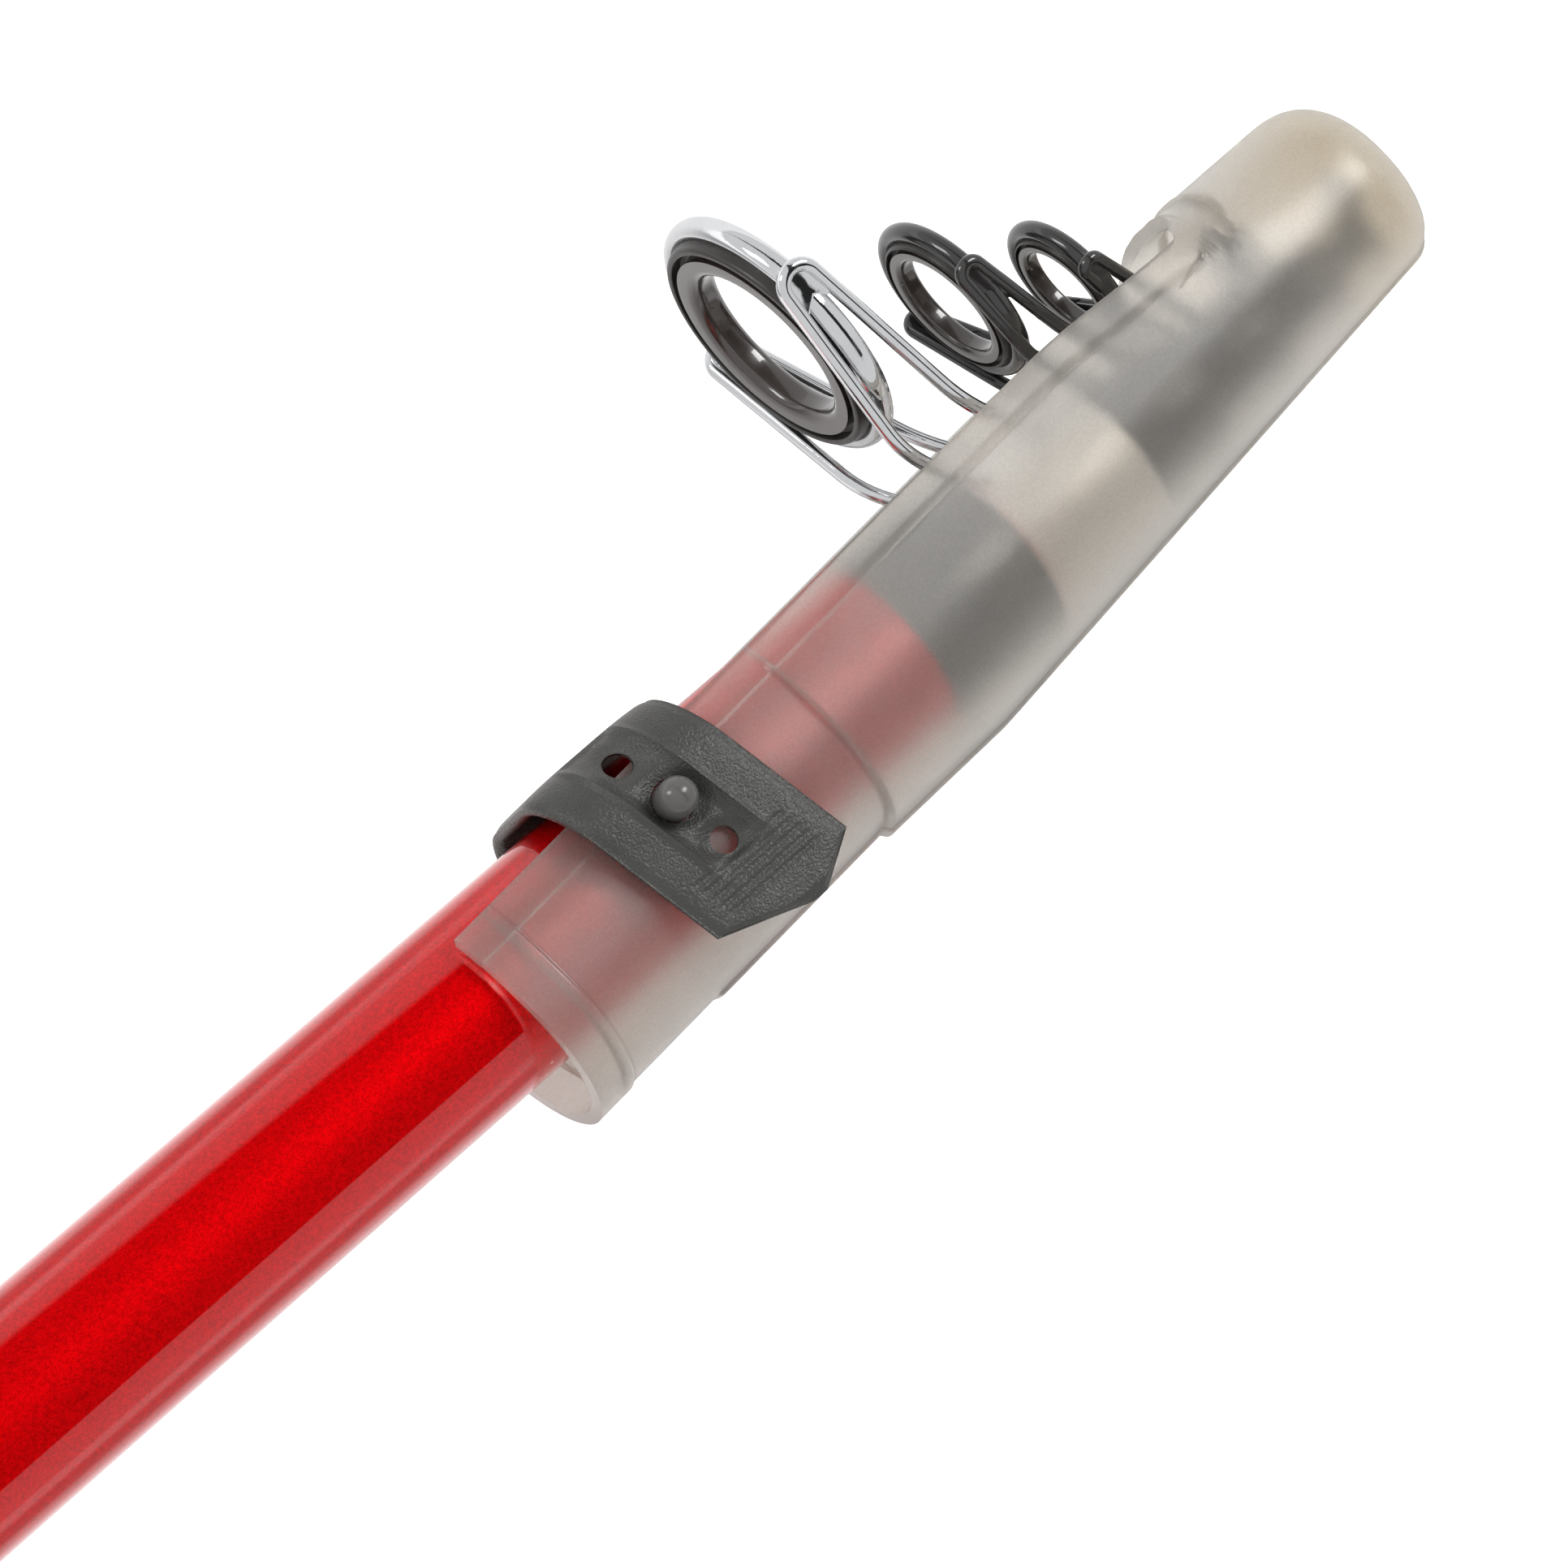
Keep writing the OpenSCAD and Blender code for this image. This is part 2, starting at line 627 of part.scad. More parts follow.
// Height where the legs leave the sleeve, and the place of the bend
function leg_low(k) = sleeve_r(k) + knee_rise[k - 1] * (ring_height[k - 1] - sleeve_r(k));
function bend_x(k) = ring_x(k) + (apex_shift[k - 1] + 0.14) * ring_r[k - 1];
function bend_top(k) = ring_height[k - 1] + apex_rise[k - 1] * ring_r[k - 1];
function bend_r(k) = bend_share[k - 1] * wire_d[k - 1];
function bend_middle(k) =
  [bend_x(k), bend_top(k) - bend_r(k), ring_r[k - 1] + 0.15 * wire_d[k - 1]];
// Arc of the bend, tangent to both legs
function bend_arc(k) =
  let (c = bend_middle(k))
  let (back = unit(rear_leg(k)[1] - c))
  let (fore = unit(front_leg(k)[1] - c))
  let (up = -unit(back + fore))
  let (side = unit(fore - back))
  let (half = 90 - acos(back * fore) / 2)
  [for (i = [-3:3]) c + bend_r(k) * (sin(i * half / 3) * side + cos(i * half / 3) * up)];
// Path of one hairpin, from its rear foot over the bend to its front foot
function hairpin_path(k) =
  let (arc = bend_arc(k))
  let (front = leg_path(front_leg(k)[0], front_leg(k)[1], arc[6]))
  concat(
    leg_path(rear_leg(k)[0], rear_leg(k)[1], arc[0]),
    [for (i = [1:5]) arc[i]],
    [for (i = [len(front) - 1:-1:0]) front[i]]
  );

// Thin web between the two legs of a hairpin, below its bend
module web(k, thick) {
  c = bend_middle(k);
  rear = c + (rear_leg(k)[1] - c) * web_share[k - 1];
  front = c + (front_leg(k)[1] - c) * web_share[k - 1];
  n = unit(cross(rear - c, front - c)) * thick / 2;
  arc = bend_arc(k);
  polyhedron(
    points = [arc[1] + n, arc[5] + n, front + n, rear + n, arc[1] - n, arc[5] - n, front - n, rear - n],
    faces = [[0, 1, 2, 3], [7, 6, 5, 4], [1, 0, 4, 5], [2, 1, 5, 6], [3, 2, 6, 7], [0, 3, 7, 4]]
  );
}

module guide_legs(k, paint) {
  up = [0, 0.35, 1];
  color(paint) for (side = [0, 1]) mirror([0, 0, side]) union() {
    wire(hairpin_path(k), wire_d[k - 1] / 2, up);
    web(k, wire_d[k - 1] * 0.5);
  }
}

// Wire radius of the hoop of guide k
function hoop_wire(k) = wire_d[k - 1] * 0.62;

// Places a ring's own frame, its axis along Z, on guide k
module on_ring(k) {
  tilt = k == 4 ? 0 : ring_tilt;
  translate([ring_x(k), ring_height[k - 1], 0]) rotate([0, 0, tilt]) rotate([0, 90, 0]) children();
}

module guide_hoop(k, paint) {
  r = hoop_wire(k);
  color(paint) on_ring(k) rotate_extrude() translate([ring_r[k - 1] - r, 0]) circle(r = r, $fn = 32);
}

// Outside radius of the insert of guide k
function insert_r(k) =
  k == 4
  ? ring_r[k - 1] - 1.7 * hoop_wire(k)
  : hole_r[k - 1] + (ring_r[k - 1] - hole_r[k - 1]) * insert_width[k - 1];

module guide_shock_ring(k) {
  d = ring_r[k - 1] * insert_share;
  inner = insert_r(k);
  groove = (ring_r[k - 1] - hole_r[k - 1]) * 0.1;
  front = ring_r[k - 1] - 1.9 * hoop_wire(k);
  back = ring_r[k - 1] - 0.5 * hoop_wire(k);
  color(black) difference() {
    on_ring(k) rotate_extrude() polygon([
      [inner, -0.3 * d],
      [inner + groove, -0.3 * d],
      [inner + groove, -0.9 * d],
      [front - 0.1 * d, -0.9 * d],
      [front, -0.8 * d],
      [front + 0.25 * hoop_wire(k), -0.3 * d],
      [front + 0.25 * hoop_wire(k), 0],
      [back, 0.45 * d],
      [back, 0.75 * d],
      [back - 0.15 * d, 0.9 * d],
      [inner, 0.9 * d]
    ]);
    guide_hoop(k, black);
  }
}

// Insert with rounded rims round a ring's own axis
module ring_insert(hole, outer, depth) {
  round_r = min(depth * 0.4, (outer - hole) * 0.48);
  color(glass_fibre) rotate_extrude() union() {
    translate([hole + round_r, -depth / 2]) square([outer - hole - round_r, depth]);
    translate([hole, -depth / 2 + round_r]) square([round_r + 0.01, depth - 2 * round_r]);
    for (s = [-1, 1]) intersection() {
      translate([hole + round_r, s * (depth / 2 - round_r)]) circle(r = round_r);
      translate([hole, -depth / 2]) square([round_r + 0.01, depth]);
    }
  }
}

module guide_insert(k) {
  d = ring_r[k - 1] * insert_share;
  on_ring(k) translate([0, 0, -0.1 * d]) ring_insert(hole_r[k - 1], insert_r(k), max(1.6 * d, 1.1));
}

// Tip-top: tube, two wires, hoop and insert
module tip_top_tube() {
  color(black) difference() {
    x_rod(tip_x, tip_x + tip_tube_len - 0.4, 2 * tip_tube_r, 2 * tip_tube_r);
    slope = (base_d(5) - tip_d) / (tip_x + tip_tube_len - 0.6 - base_x - seat_overlap * 0.6);
    x_rod(tip_x - 1, tip_x + tip_tube_len - 0.6, tip_d + slope * (tip_tube_len + 0.4), tip_d);
  }
}

module tip_top_legs() {
  color(black) for (side = [0, 1]) mirror([0, 0, side])
    wire(smooth_path([
      [tip_x + 0.8, 0.70 * tip_tube_r, 0.75 * tip_tube_r],
      [tip_x + 2.4, 1.7, 1.6],
      [tip_ring_x - 0.6, tip_ring_height - 0.2, tip_ring_r + 0.1],
      [tip_ring_x, tip_ring_height + 0.7, tip_ring_r - 0.1]
    ], 4), tip_wire_r, [0, -1, 0.4]);
}

module tip_top_hoop() {
  color(black) translate([tip_ring_x, tip_ring_height, 0]) rotate([0, 90, 0])
    rotate_extrude() translate([tip_ring_r - 0.4, 0]) circle(r = 0.4, $fn = 32);
}

module tip_top_insert() {
  translate([tip_ring_x, tip_ring_height, 0]) rotate([0, 90, 0])
    ring_insert(tip_hole_r, tip_ring_r - 0.75, 1);
}

// Half width, depth of the back and height of the top of the cap at s, over a given inset
function ramp(s, s0, s1, a, b) = s <= s0 ? a : s >= s1 ? b : a + (b - a) * (s - s0) / (s1 - s0);
function soft(s, s0, s1, a, b) =
  let (t = min(1, max(0, (s - s0) / (s1 - s0))))
  a + (b - a) * t * t * (3 - 2 * t);
function cap_w(s) =
  ramp(s, step_s, step_s + step_run, cap_half, cap_half_front) - soft(s, hood_s, cap_len, 0, 0.5);
function cap_back_depth(s) =
  s < knee_s ? ramp(s, step_s, step_s + step_run, cap_depth, cap_depth + step_rise) +
    ramp(s, step_s + step_run, knee_s, 0, knee_depth - cap_depth - step_rise)
  : ramp(s, knee_s, cap_len, knee_depth, end_depth);
function cap_top(s) =
  soft(s, hood_s - 12, hood_s + 1, hood_top + 4, hood_top) - ramp(s, hood_s + 2, cap_len, 0, hood_fall);
function cap_power(s) = soft(s, step_s, step_s + hood_run, 2.3, 4) + soft(s, hood_s - 8, hood_s + 6, 0, -1.6);
function rib_at(s, z) = rib_rise * max(0, 1 - abs(z) / 1.2) * ramp(s, rib_start, rib_start + rib_run, 0, 1);

// Shrink of the section towards the rounded end
function end_scale(s, end, dome) =
  let (t = max(0, (s - (end - dome)) / dome))
  sqrt(max(0.0001, 1 - 0.92 * pow(min(t, 1), 3)));

// One point of the cap's section, in the cap's own frame
function cap_point(s, a, inset, end, dome, ribbed) =
  let (q = end_scale(s, end, dome))
  let (w = (cap_w(s) - inset) * q)
  let (down = (cap_back_depth(s) - inset) * end_scale(s, end, back_dome * dome))
  let (up = (cap_top(s) - inset) * q)
  let (n = sin(a) > 0 ? cap_power(s) : 2)
  let (cz = sign(cos(a)) * pow(abs(cos(a)), 2 / n))
  let (cy = sign(sin(a)) * pow(abs(sin(a)), 2 / n))
  let (y = cy > 0 ? up * cy : down * cy)
  [s, y - (ribbed && sin(a) < 0 ? rib_at(s, w * cz) : 0), w * cz];

// Places that part the way from a to b evenly
function between(a, b, count) = [for (i = [1:count]) a + (b - a) * i / (count + 1)];

// Solid form of the cap, without its slot
module cap_form(inset, start, end, dome, ribbed) {
  sides = 44;
  rib_end = rib_start + rib_run;
  step_end = step_s + step_run;
  hood_near = hood_s - hood_run;
  mouth = concat([start, mouth_band], between(mouth_band, rib_start, 1), [rib_start, rib_end]);
  rear = concat(between(rib_end, step_s, 2), [step_s, step_end], between(step_end, knee_s, 2), [knee_s]);
  middle = concat(between(knee_s, hood_near, 3), [hood_near], between(hood_near, end - dome, 8));
  tail = [for (i = [0:7]) end - dome + dome * sin(i * 90 / 7)];
  stations = concat(mouth, rear, middle, tail);
  turns = [for (j = [0:sides - 1]) j * 360 / sides];
  points = [for (s = stations) for (a = turns) cap_point(s, a, inset, end, dome, ribbed)];
  polyhedron(points = points, faces = ring_faces(len(stations), sides));
}

// Places the cap's own frame on the rod
module on_cap() {
  translate([cap_x, cap_y, 0]) rotate([0, 0, cap_tilt]) children();
}

module tip_cap() {
  end_s = hood_s - ear_r;
  low = slot_edge - ear_dip;
  reach = 2 * cap_half_front;
  color(frost) on_cap() difference() {
    cap_form(0, 0, cap_len, 6, true);
    cap_form(cap_wall, -2, cap_len - cap_wall, 5, false);
    // open side, with a rounded corner at the hood
    translate([0, 0, -reach]) linear_extrude(height = 2 * reach) union() {
      polygon([
        [-mouth_band, slot_edge],
        [end_s - hood_len, slot_edge],
        [end_s - 0.4 * hood_len, slot_edge - 0.4 * ear_dip],
        [end_s, low],
        [end_s, low + reach],
        [-mouth_band, low + reach]
      ]);
      translate([end_s - ear_r / 2, low + ear_r]) square([1.5 * ear_r, reach - ear_r]);
      translate([end_s, low + ear_r]) circle(r = ear_r);
    }
  }
}

module strap_pin() {
  z0 = cap_half - cap_wall * 0.6;
  top = strap_half + strap_thick + pin_proud;
  color(grey) translate([strap_mid_x, pin_y, 0]) union() {
    translate([0, 0, z0]) cylinder(h = top - z0 - pin_d / 2, d = pin_d);
    translate([0, 0, top - pin_d / 2]) sphere(d = pin_d);
  }
}

module strap_rivet() {
  z0 = cap_half - cap_wall * 0.6;
  face = strap_half + strap_thick + strap_gap;
  color(grey) translate([strap_mid_x - strap_lean(pin_y, 1), pin_y, 0]) mirror([0, 0, 1]) union() {
    translate([0, 0, z0]) cylinder(h = face - z0 + 0.01, d = pin_d);
    translate([0, 0, face]) cylinder(h = 0.8, d1 = 5.2, d2 = 4.2);
  }
}

// Middle line of the strap, from the rivet's side over the blank to the free end, as [y, z]
function strap_turn(side, a) =
  [strap_drop_y + strap_bend * sin(a), side * (strap_mid - strap_bend + strap_bend * cos(a))];
function strap_line() = concat(
  [for (i = [0:4]) [strap_far_y + (strap_drop_y - strap_far_y) * i / 5, -strap_mid]],
  [for (i = [0:8]) strap_turn(-1, i * 90 / 8)],
  [for (i = [1:3]) [strap_rise, (strap_mid - strap_bend) * (i - 2) / 2]],
  [for (i = [0:8]) strap_turn(1, 90 - i * 90 / 8)],
  [for (i = [1:6]) [strap_drop_y + (strap_end_y + strap_point - strap_drop_y) * i / 6, strap_mid]],
  [for (i = [1:2]) [strap_end_y + strap_point - strap_point * i / 2, strap_mid]]
);
// Reach of the strap to one side of its middle, which narrows to a blunt point at the free end
function strap_reach(y, z, side) =
  z > 0 && y < strap_end_y + strap_point
  ? ramp(y, strap_end_y, strap_end_y + strap_point, side * strap_apex + strap_blunt, strap_width / 2)
  : strap_width / 2;
// Sideways lean of the strap, which grows from the blank's top to the free end
function strap_lean(y, z) = z > 0 ? max(0, strap_rise - y) * tan(strap_skew) : 0;
// Ring of points round the strap's section
function strap_ring(p, t) =
  let (n = [t[1], -t[0]])
  let (g = strap_reach(p[0], p[1], 1))
  let (h = strap_reach(p[0], p[1], -1))
  let (c = strap_thick / 2)
  let (e = c * 0.45)
  let (lean = strap_lean(p[0], p[1]))
  let (x = strap_mid_x + lean - strap_lean(pin_y, 1))
  let (right = [[g - e, c], [g, c - e], [g, -c + e], [g - e, -c]])
  let (left = [[-h + e, -c], [-h, -c + e], [-h, c - e], [-h + e, c]])
  [for (q = concat(right, left)) [x + q[0], p[0] + n[0] * q[1], p[1] + n[1] * q[1]]];

module strap() {
  line = strap_line();
  last = len(line) - 1;
  channel = 5.2;
  outer = strap_half + strap_thick;
  along = [for (i = [0:last]) unit(line[min(i + 1, last)] - line[max(i - 1, 0)])];
  points = [for (i = [0:last]) each strap_ring(line[i], along[i])];
  color(grey) difference() {
    polyhedron(points = points, faces = ring_faces(len(line), 8));
    // three holes along the free side, the middle one round the pin, and the one round the rivet
    translate([strap_mid_x, pin_y, 0]) for (i = [-1, 0, 1])
      translate([-i * hole_pitch * tan(strap_skew), i * hole_pitch, 0])
        cylinder(h = 30, d = i == 0 ? pin_d + 2 * pin_clear : free_hole_d);
    translate([strap_mid_x - strap_lean(pin_y, 1), pin_y, -30]) cylinder(h = 30, d = pin_d + 2 * pin_clear);
    // shallow channel along the holes
    translate([strap_mid_x, pin_y, 0]) rotate([0, 0, strap_skew])
      translate([-channel / 2, -hole_pitch - channel / 2, outer - 0.35])
        cube([channel, 2 * hole_pitch + channel / 2, 2]);
  }
}

butt_blank();
mouth_collar();
rear_grip();
fore_grip();
winding_check();
reel_seat();
seat_arbors();
fixed_hood();
sliding_hood();
lock_nut();
butt_cushion();
butt_plug();
butt_bumper();
section_tube(1);  // section_2
guide_sleeve(1, steel);  // guide_1_sleeve
guide_legs(1, steel);  // guide_1_legs
guide_hoop(1, steel);  // guide_1_hoop
guide_shock_ring(1);  // guide_1_shock_ring
guide_insert(1);  // guide_1_insert
section_tube(2);  // section_3
guide_sleeve(2, black);  // guide_2_sleeve
guide_legs(2, black);  // guide_2_legs
guide_hoop(2, black);  // guide_2_hoop
guide_shock_ring(2);  // guide_2_shock_ring
guide_insert(2);  // guide_2_insert
section_tube(3);  // section_4
guide_sleeve(3, black);  // guide_3_sleeve
guide_legs(3, black);  // guide_3_legs
guide_hoop(3, black);  // guide_3_hoop
guide_shock_ring(3);  // guide_3_shock_ring
guide_insert(3);  // guide_3_insert
section_tube(4);  // section_5
guide_sleeve(4, black);  // guide_4_sleeve
guide_legs(4, black);  // guide_4_legs
guide_hoop(4, black);  // guide_4_hoop
guide_insert(4);  // guide_4_insert
tip_section();
tip_top_tube();
tip_top_legs();
tip_top_hoop();
tip_top_insert();
tip_cap();
strap_pin();
strap_rivet();
strap();
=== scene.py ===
# Telescopic fishing rod, closed, with a frosted cap strapped over its guides.
import json
import math

import bmesh
import bpy
from mathutils import Matrix, Vector

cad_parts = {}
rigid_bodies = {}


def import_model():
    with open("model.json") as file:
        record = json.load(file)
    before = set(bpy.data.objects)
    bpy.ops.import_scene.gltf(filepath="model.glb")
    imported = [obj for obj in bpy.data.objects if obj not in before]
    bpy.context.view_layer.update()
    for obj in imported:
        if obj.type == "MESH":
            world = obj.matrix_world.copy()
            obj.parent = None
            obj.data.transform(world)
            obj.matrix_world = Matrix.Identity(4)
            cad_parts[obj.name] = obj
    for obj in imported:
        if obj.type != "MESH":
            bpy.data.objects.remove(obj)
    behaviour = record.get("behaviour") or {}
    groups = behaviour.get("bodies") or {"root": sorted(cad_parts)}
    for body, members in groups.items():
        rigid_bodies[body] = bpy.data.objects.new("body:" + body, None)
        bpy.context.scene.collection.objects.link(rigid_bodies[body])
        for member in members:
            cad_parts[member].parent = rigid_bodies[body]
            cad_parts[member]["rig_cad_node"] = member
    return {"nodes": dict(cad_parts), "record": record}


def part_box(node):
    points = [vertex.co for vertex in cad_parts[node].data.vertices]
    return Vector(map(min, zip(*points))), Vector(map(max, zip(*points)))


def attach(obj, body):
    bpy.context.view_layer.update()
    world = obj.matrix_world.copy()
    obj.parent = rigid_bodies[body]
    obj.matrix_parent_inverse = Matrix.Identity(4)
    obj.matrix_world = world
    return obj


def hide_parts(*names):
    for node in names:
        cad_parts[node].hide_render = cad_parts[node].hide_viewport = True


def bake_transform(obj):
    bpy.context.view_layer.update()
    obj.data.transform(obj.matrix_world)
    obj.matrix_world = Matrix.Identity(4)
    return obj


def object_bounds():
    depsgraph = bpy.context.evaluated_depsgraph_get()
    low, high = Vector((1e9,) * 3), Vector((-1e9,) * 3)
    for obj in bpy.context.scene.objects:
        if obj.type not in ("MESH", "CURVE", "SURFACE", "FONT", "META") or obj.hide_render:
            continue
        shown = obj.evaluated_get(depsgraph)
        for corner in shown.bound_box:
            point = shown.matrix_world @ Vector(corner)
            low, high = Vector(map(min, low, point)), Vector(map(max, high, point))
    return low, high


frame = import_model()
cad_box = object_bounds()

MM = 0.001
X_AXIS = Vector((1, 0, 0))
Y_AXIS = Vector((0, 1, 0))
FULL_TURN = 2 * math.pi
QUARTER_TURN = math.pi / 2

# Places taken from the frame
mouth_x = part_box("butt_blank")[1].x
STRAP_SWING_ROOM = 9 * MM
floor_z = cad_box[0].z - STRAP_SWING_ROOM

# Camera, as the photograph sees the rod
VIEW_TO_ROD = math.radians(72)
ROD_IN_PICTURE = math.radians(41.1)
CAMERA_DISTANCE = 0.7
AIM_BEHIND_MOUTH = 24.9 * MM
AIM_DROP = 2.5 * MM
SENSOR_WIDTH = 36
LENS = 211.3
NEAREST_SEEN = 0.01


def make_camera():
    back = Vector((-math.cos(VIEW_TO_ROD), 0, math.sin(VIEW_TO_ROD)))
    along = Vector((math.sin(VIEW_TO_ROD), 0, math.cos(VIEW_TO_ROD)))
    right = along * math.cos(ROD_IN_PICTURE) - Y_AXIS * math.sin(ROD_IN_PICTURE)
    up = along * math.sin(ROD_IN_PICTURE) + Y_AXIS * math.cos(ROD_IN_PICTURE)
    aim = Vector((mouth_x - AIM_BEHIND_MOUTH, -AIM_DROP, 0))
    place = Matrix((right, up, back)).transposed().to_4x4()
    place.translation = aim + back * CAMERA_DISTANCE
    data = bpy.data.cameras.new("camera")
    data.sensor_width = SENSOR_WIDTH
    data.lens = LENS
    data.clip_start = NEAREST_SEEN
    camera = bpy.data.objects.new("camera", data)
    bpy.context.scene.collection.objects.link(camera)
    camera.matrix_world = place
    bpy.context.scene.camera = camera


class Value:
    """A shader socket that takes part in Python expressions."""

    def __init__(self, finish, socket):
        self.finish = finish
        self.socket = socket

    def math(self, operation, other=0.0, swapped=False):
        pair = (other, self) if swapped else (self, other)
        return self.finish.node("ShaderNodeMath", {"operation": operation}, {0: pair[0], 1: pair[1]})

    def __add__(self, other):
        return self.math("ADD", other)

    __radd__ = __add__

    def __sub__(self, other):
        return self.math("SUBTRACT", other)

    def __rsub__(self, other):
        return self.math("SUBTRACT", other, swapped=True)

    def __mul__(self, other):
        return self.math("MULTIPLY", other)

    __rmul__ = __mul__

    def __lt__(self, other):
        return self.math("LESS_THAN", other)


class Finish:
    """A material, or the world, whose nodes are written as expressions."""

    def __init__(self, name, world=False, **constants):
        self.data = bpy.data.worlds.new(name) if world else bpy.data.materials.new(name)
        self.data.use_nodes = True
        self.tree = self.data.node_tree
        self.shader = self.tree.nodes["Background" if world else "Principled BSDF"]
        for socket, value in constants.items():
            self.feed(socket.replace("_", " "), value)

    def node(self, kind, settings=None, sockets=None, output=0):
        made = self.tree.nodes.new(kind)
        for name, value in (settings or {}).items():
            setattr(made, name, value)
        for name, value in (sockets or {}).items():
            self.connect(made.inputs[name], value)
        return Value(self, made.outputs[output])

    def connect(self, socket, value):
        if isinstance(value, Value):
            self.tree.links.new(value.socket, socket)
        else:
            socket.default_value = value

    def feed(self, name, value):
        self.connect(self.shader.inputs[name], value)

    def place(self, stretch=(1, 1, 1)):
        coords = self.node("ShaderNodeTexCoord", output="Object")
        return self.node("ShaderNodeMapping", None, {"Vector": coords, "Scale": stretch})

    def axis(self, name):
        """One axis of the place on the piece."""
        return self.node("ShaderNodeSeparateXYZ", None, {0: self.place()}, name)

    def toward(self, name):
        """One axis of the direction in which the world is seen."""
        coords = self.node("ShaderNodeTexCoord", output="Generated")
        return self.node("ShaderNodeSeparateXYZ", None, {0: coords}, name)

    def ray(self, kind):
        return self.node("ShaderNodeLightPath", output=kind)

    def noise(self, scale, detail=2.0, stretch=(1, 1, 1)):
        sockets = {"Vector": self.place(stretch), "Scale": scale, "Detail": detail}
        return self.node("ShaderNodeTexNoise", None, sockets, "Fac")

    def cells(self, scale, output="Distance"):
        sockets = {"Vector": self.place(), "Scale": scale}
        return self.node("ShaderNodeTexVoronoi", None, sockets, output)

    def span(self, value, low, high, start=0.0, end=1.0):
        sockets = {"Value": value, 1: low, 2: high, 3: start, 4: end}
        return self.node("ShaderNodeMapRange", {"interpolation_type": "SMOOTHSTEP"}, sockets)

    def blend(self, factor, first, second, way="MIX"):
        settings = {"data_type": "RGBA", "blend_type": way}
        return self.node("ShaderNodeMix", settings, {"Factor": factor, 6: first, 7: second}, 2)

    def bump(self, height, distance, strength=1.0):
        sockets = {"Height": height, "Distance": distance, "Strength": strength}
        self.feed("Normal", self.node("ShaderNodeBump", None, sockets))


def grey(level):
    return (level, level, level, 1)


# Finishes
def red_lacquer():
    """Clear coat over a deep red full of fine flake, with a few scratches and specks."""
    finish = Finish(
        "red_lacquer", Metallic=0.65, Specular_IOR_Level=0.0,
        Coat_Weight=1.0, Coat_Roughness=0.015, Coat_IOR=1.6,
    )
    deep_red = (0.48, 0.0, 0.001, 1)
    bright_red = (0.8, 0.0, 0.002, 1)
    worn_pink = (0.9, 0.5, 0.5, 1)
    lengthwise = (0.12, 1, 1)
    mottle = finish.noise(2600, 4)
    flake = finish.node("ShaderNodeSeparateColor", None, {0: finish.cells(9000, "Color")})
    tone = mottle * 0.6 + flake * 0.4
    ground = finish.blend(finish.span(tone, 0.2, 0.8), deep_red, bright_red)
    scratch = finish.span(finish.noise(420, 6, lengthwise), 0.71, 0.76)
    scratch *= finish.span(finish.noise(55, 2), 0.55, 0.7)
    speck = (finish.cells(300) < 0.05) * finish.span(finish.noise(30, 2), 0.48, 0.6)
    marks = finish.span(scratch * 0.4 + speck, 0, 1, 0, 0.7)
    finish.feed("Base Color", finish.blend(marks, ground, worn_pink))
    finish.feed("Roughness", 0.4 + mottle * 0.14)
    return finish.data


def gloss_black(name, colour, scale=700, roughness=0.12):
    finish = Finish(name, Coat_Weight=0.6, Coat_Roughness=0.04)
    haze = finish.noise(scale, 4)
    hazy = tuple(c * 1.9 for c in colour[:3]) + (1,)
    finish.feed("Base Color", finish.blend(haze, colour, hazy))
    finish.feed("Roughness", roughness + haze * 0.1)
    finish.bump(finish.noise(scale * 2.2, 2), 0.02 * MM, 0.6)
    return finish.data


def chrome():
    finish = Finish("chrome", Metallic=1.0)
    haze = finish.noise(650, 4)
    finish.feed("Base Color", finish.blend(haze, (0.8, 0.81, 0.825, 1), (0.68, 0.69, 0.705, 1)))
    finish.feed("Roughness", 0.03 + finish.span(haze, 0.45, 0.75, 0, 0.14))
    finish.bump(finish.noise(1500, 3), 0.02 * MM, 0.5)
    return finish.data


def ceramic():
    finish = Finish("insert_ceramic", Coat_Weight=1.0, Coat_Roughness=0.03)
    cloud = finish.noise(500, 3)
    finish.feed("Base Color", finish.blend(cloud, (0.022, 0.017, 0.015, 1), (0.05, 0.039, 0.035, 1)))
    finish.feed("Roughness", 0.16 + cloud * 0.1)
    return finish.data


def frosted_plastic():
    """Milky plastic, yellower at its closed end, with painted shade darkening its moulded lines."""
    finish = Finish(
        "frosted_plastic", Transmission_Weight=0.92, IOR=1.25,
        Coat_Weight=0.8, Coat_Roughness=0.34, Coat_IOR=1.6,
    )
    milky = (0.79, 0.748, 0.69, 1)
    milky_pale = (0.84, 0.808, 0.76, 1)
    yellowed = (0.78, 0.7, 0.57, 1)
    painted_crease_grey = (0.42, 0.39, 0.35, 1)
    dust_white = (1, 0.98, 0.95, 1)
    cloud = finish.noise(140, 3)
    grain = finish.noise(5600, 2)
    pale = finish.blend(cloud, milky, milky_pale)
    aged = finish.span(finish.axis("X"), mouth_x + 30 * MM, mouth_x + 45 * MM, 0, 0.8)
    frost = finish.blend(finish.span(grain, 0.36, 0.64), grey(0.88), grey(1))
    frosted = finish.blend(1.0, finish.blend(aged, pale, yellowed), frost, "MULTIPLY")
    # Painted shade: the moulded lines are darkened to a grey by the amount stored on the cap mesh.
    painted_crease_shade = finish.node("ShaderNodeAttribute", {"attribute_name": "painted_crease_shade"}, output="Fac")
    skin = finish.blend(painted_crease_shade, frosted, painted_crease_grey)
    speck = finish.span(finish.cells(900), 0.0, 0.09, 0.5, 0) * finish.span(cloud, 0.5, 0.7)
    finish.feed("Base Color", finish.blend(speck, skin, dust_white))
    finish.feed("Roughness", 0.42 + grain * 0.14)
    finish.bump(grain, 0.06 * MM, 0.6)
    return finish.data


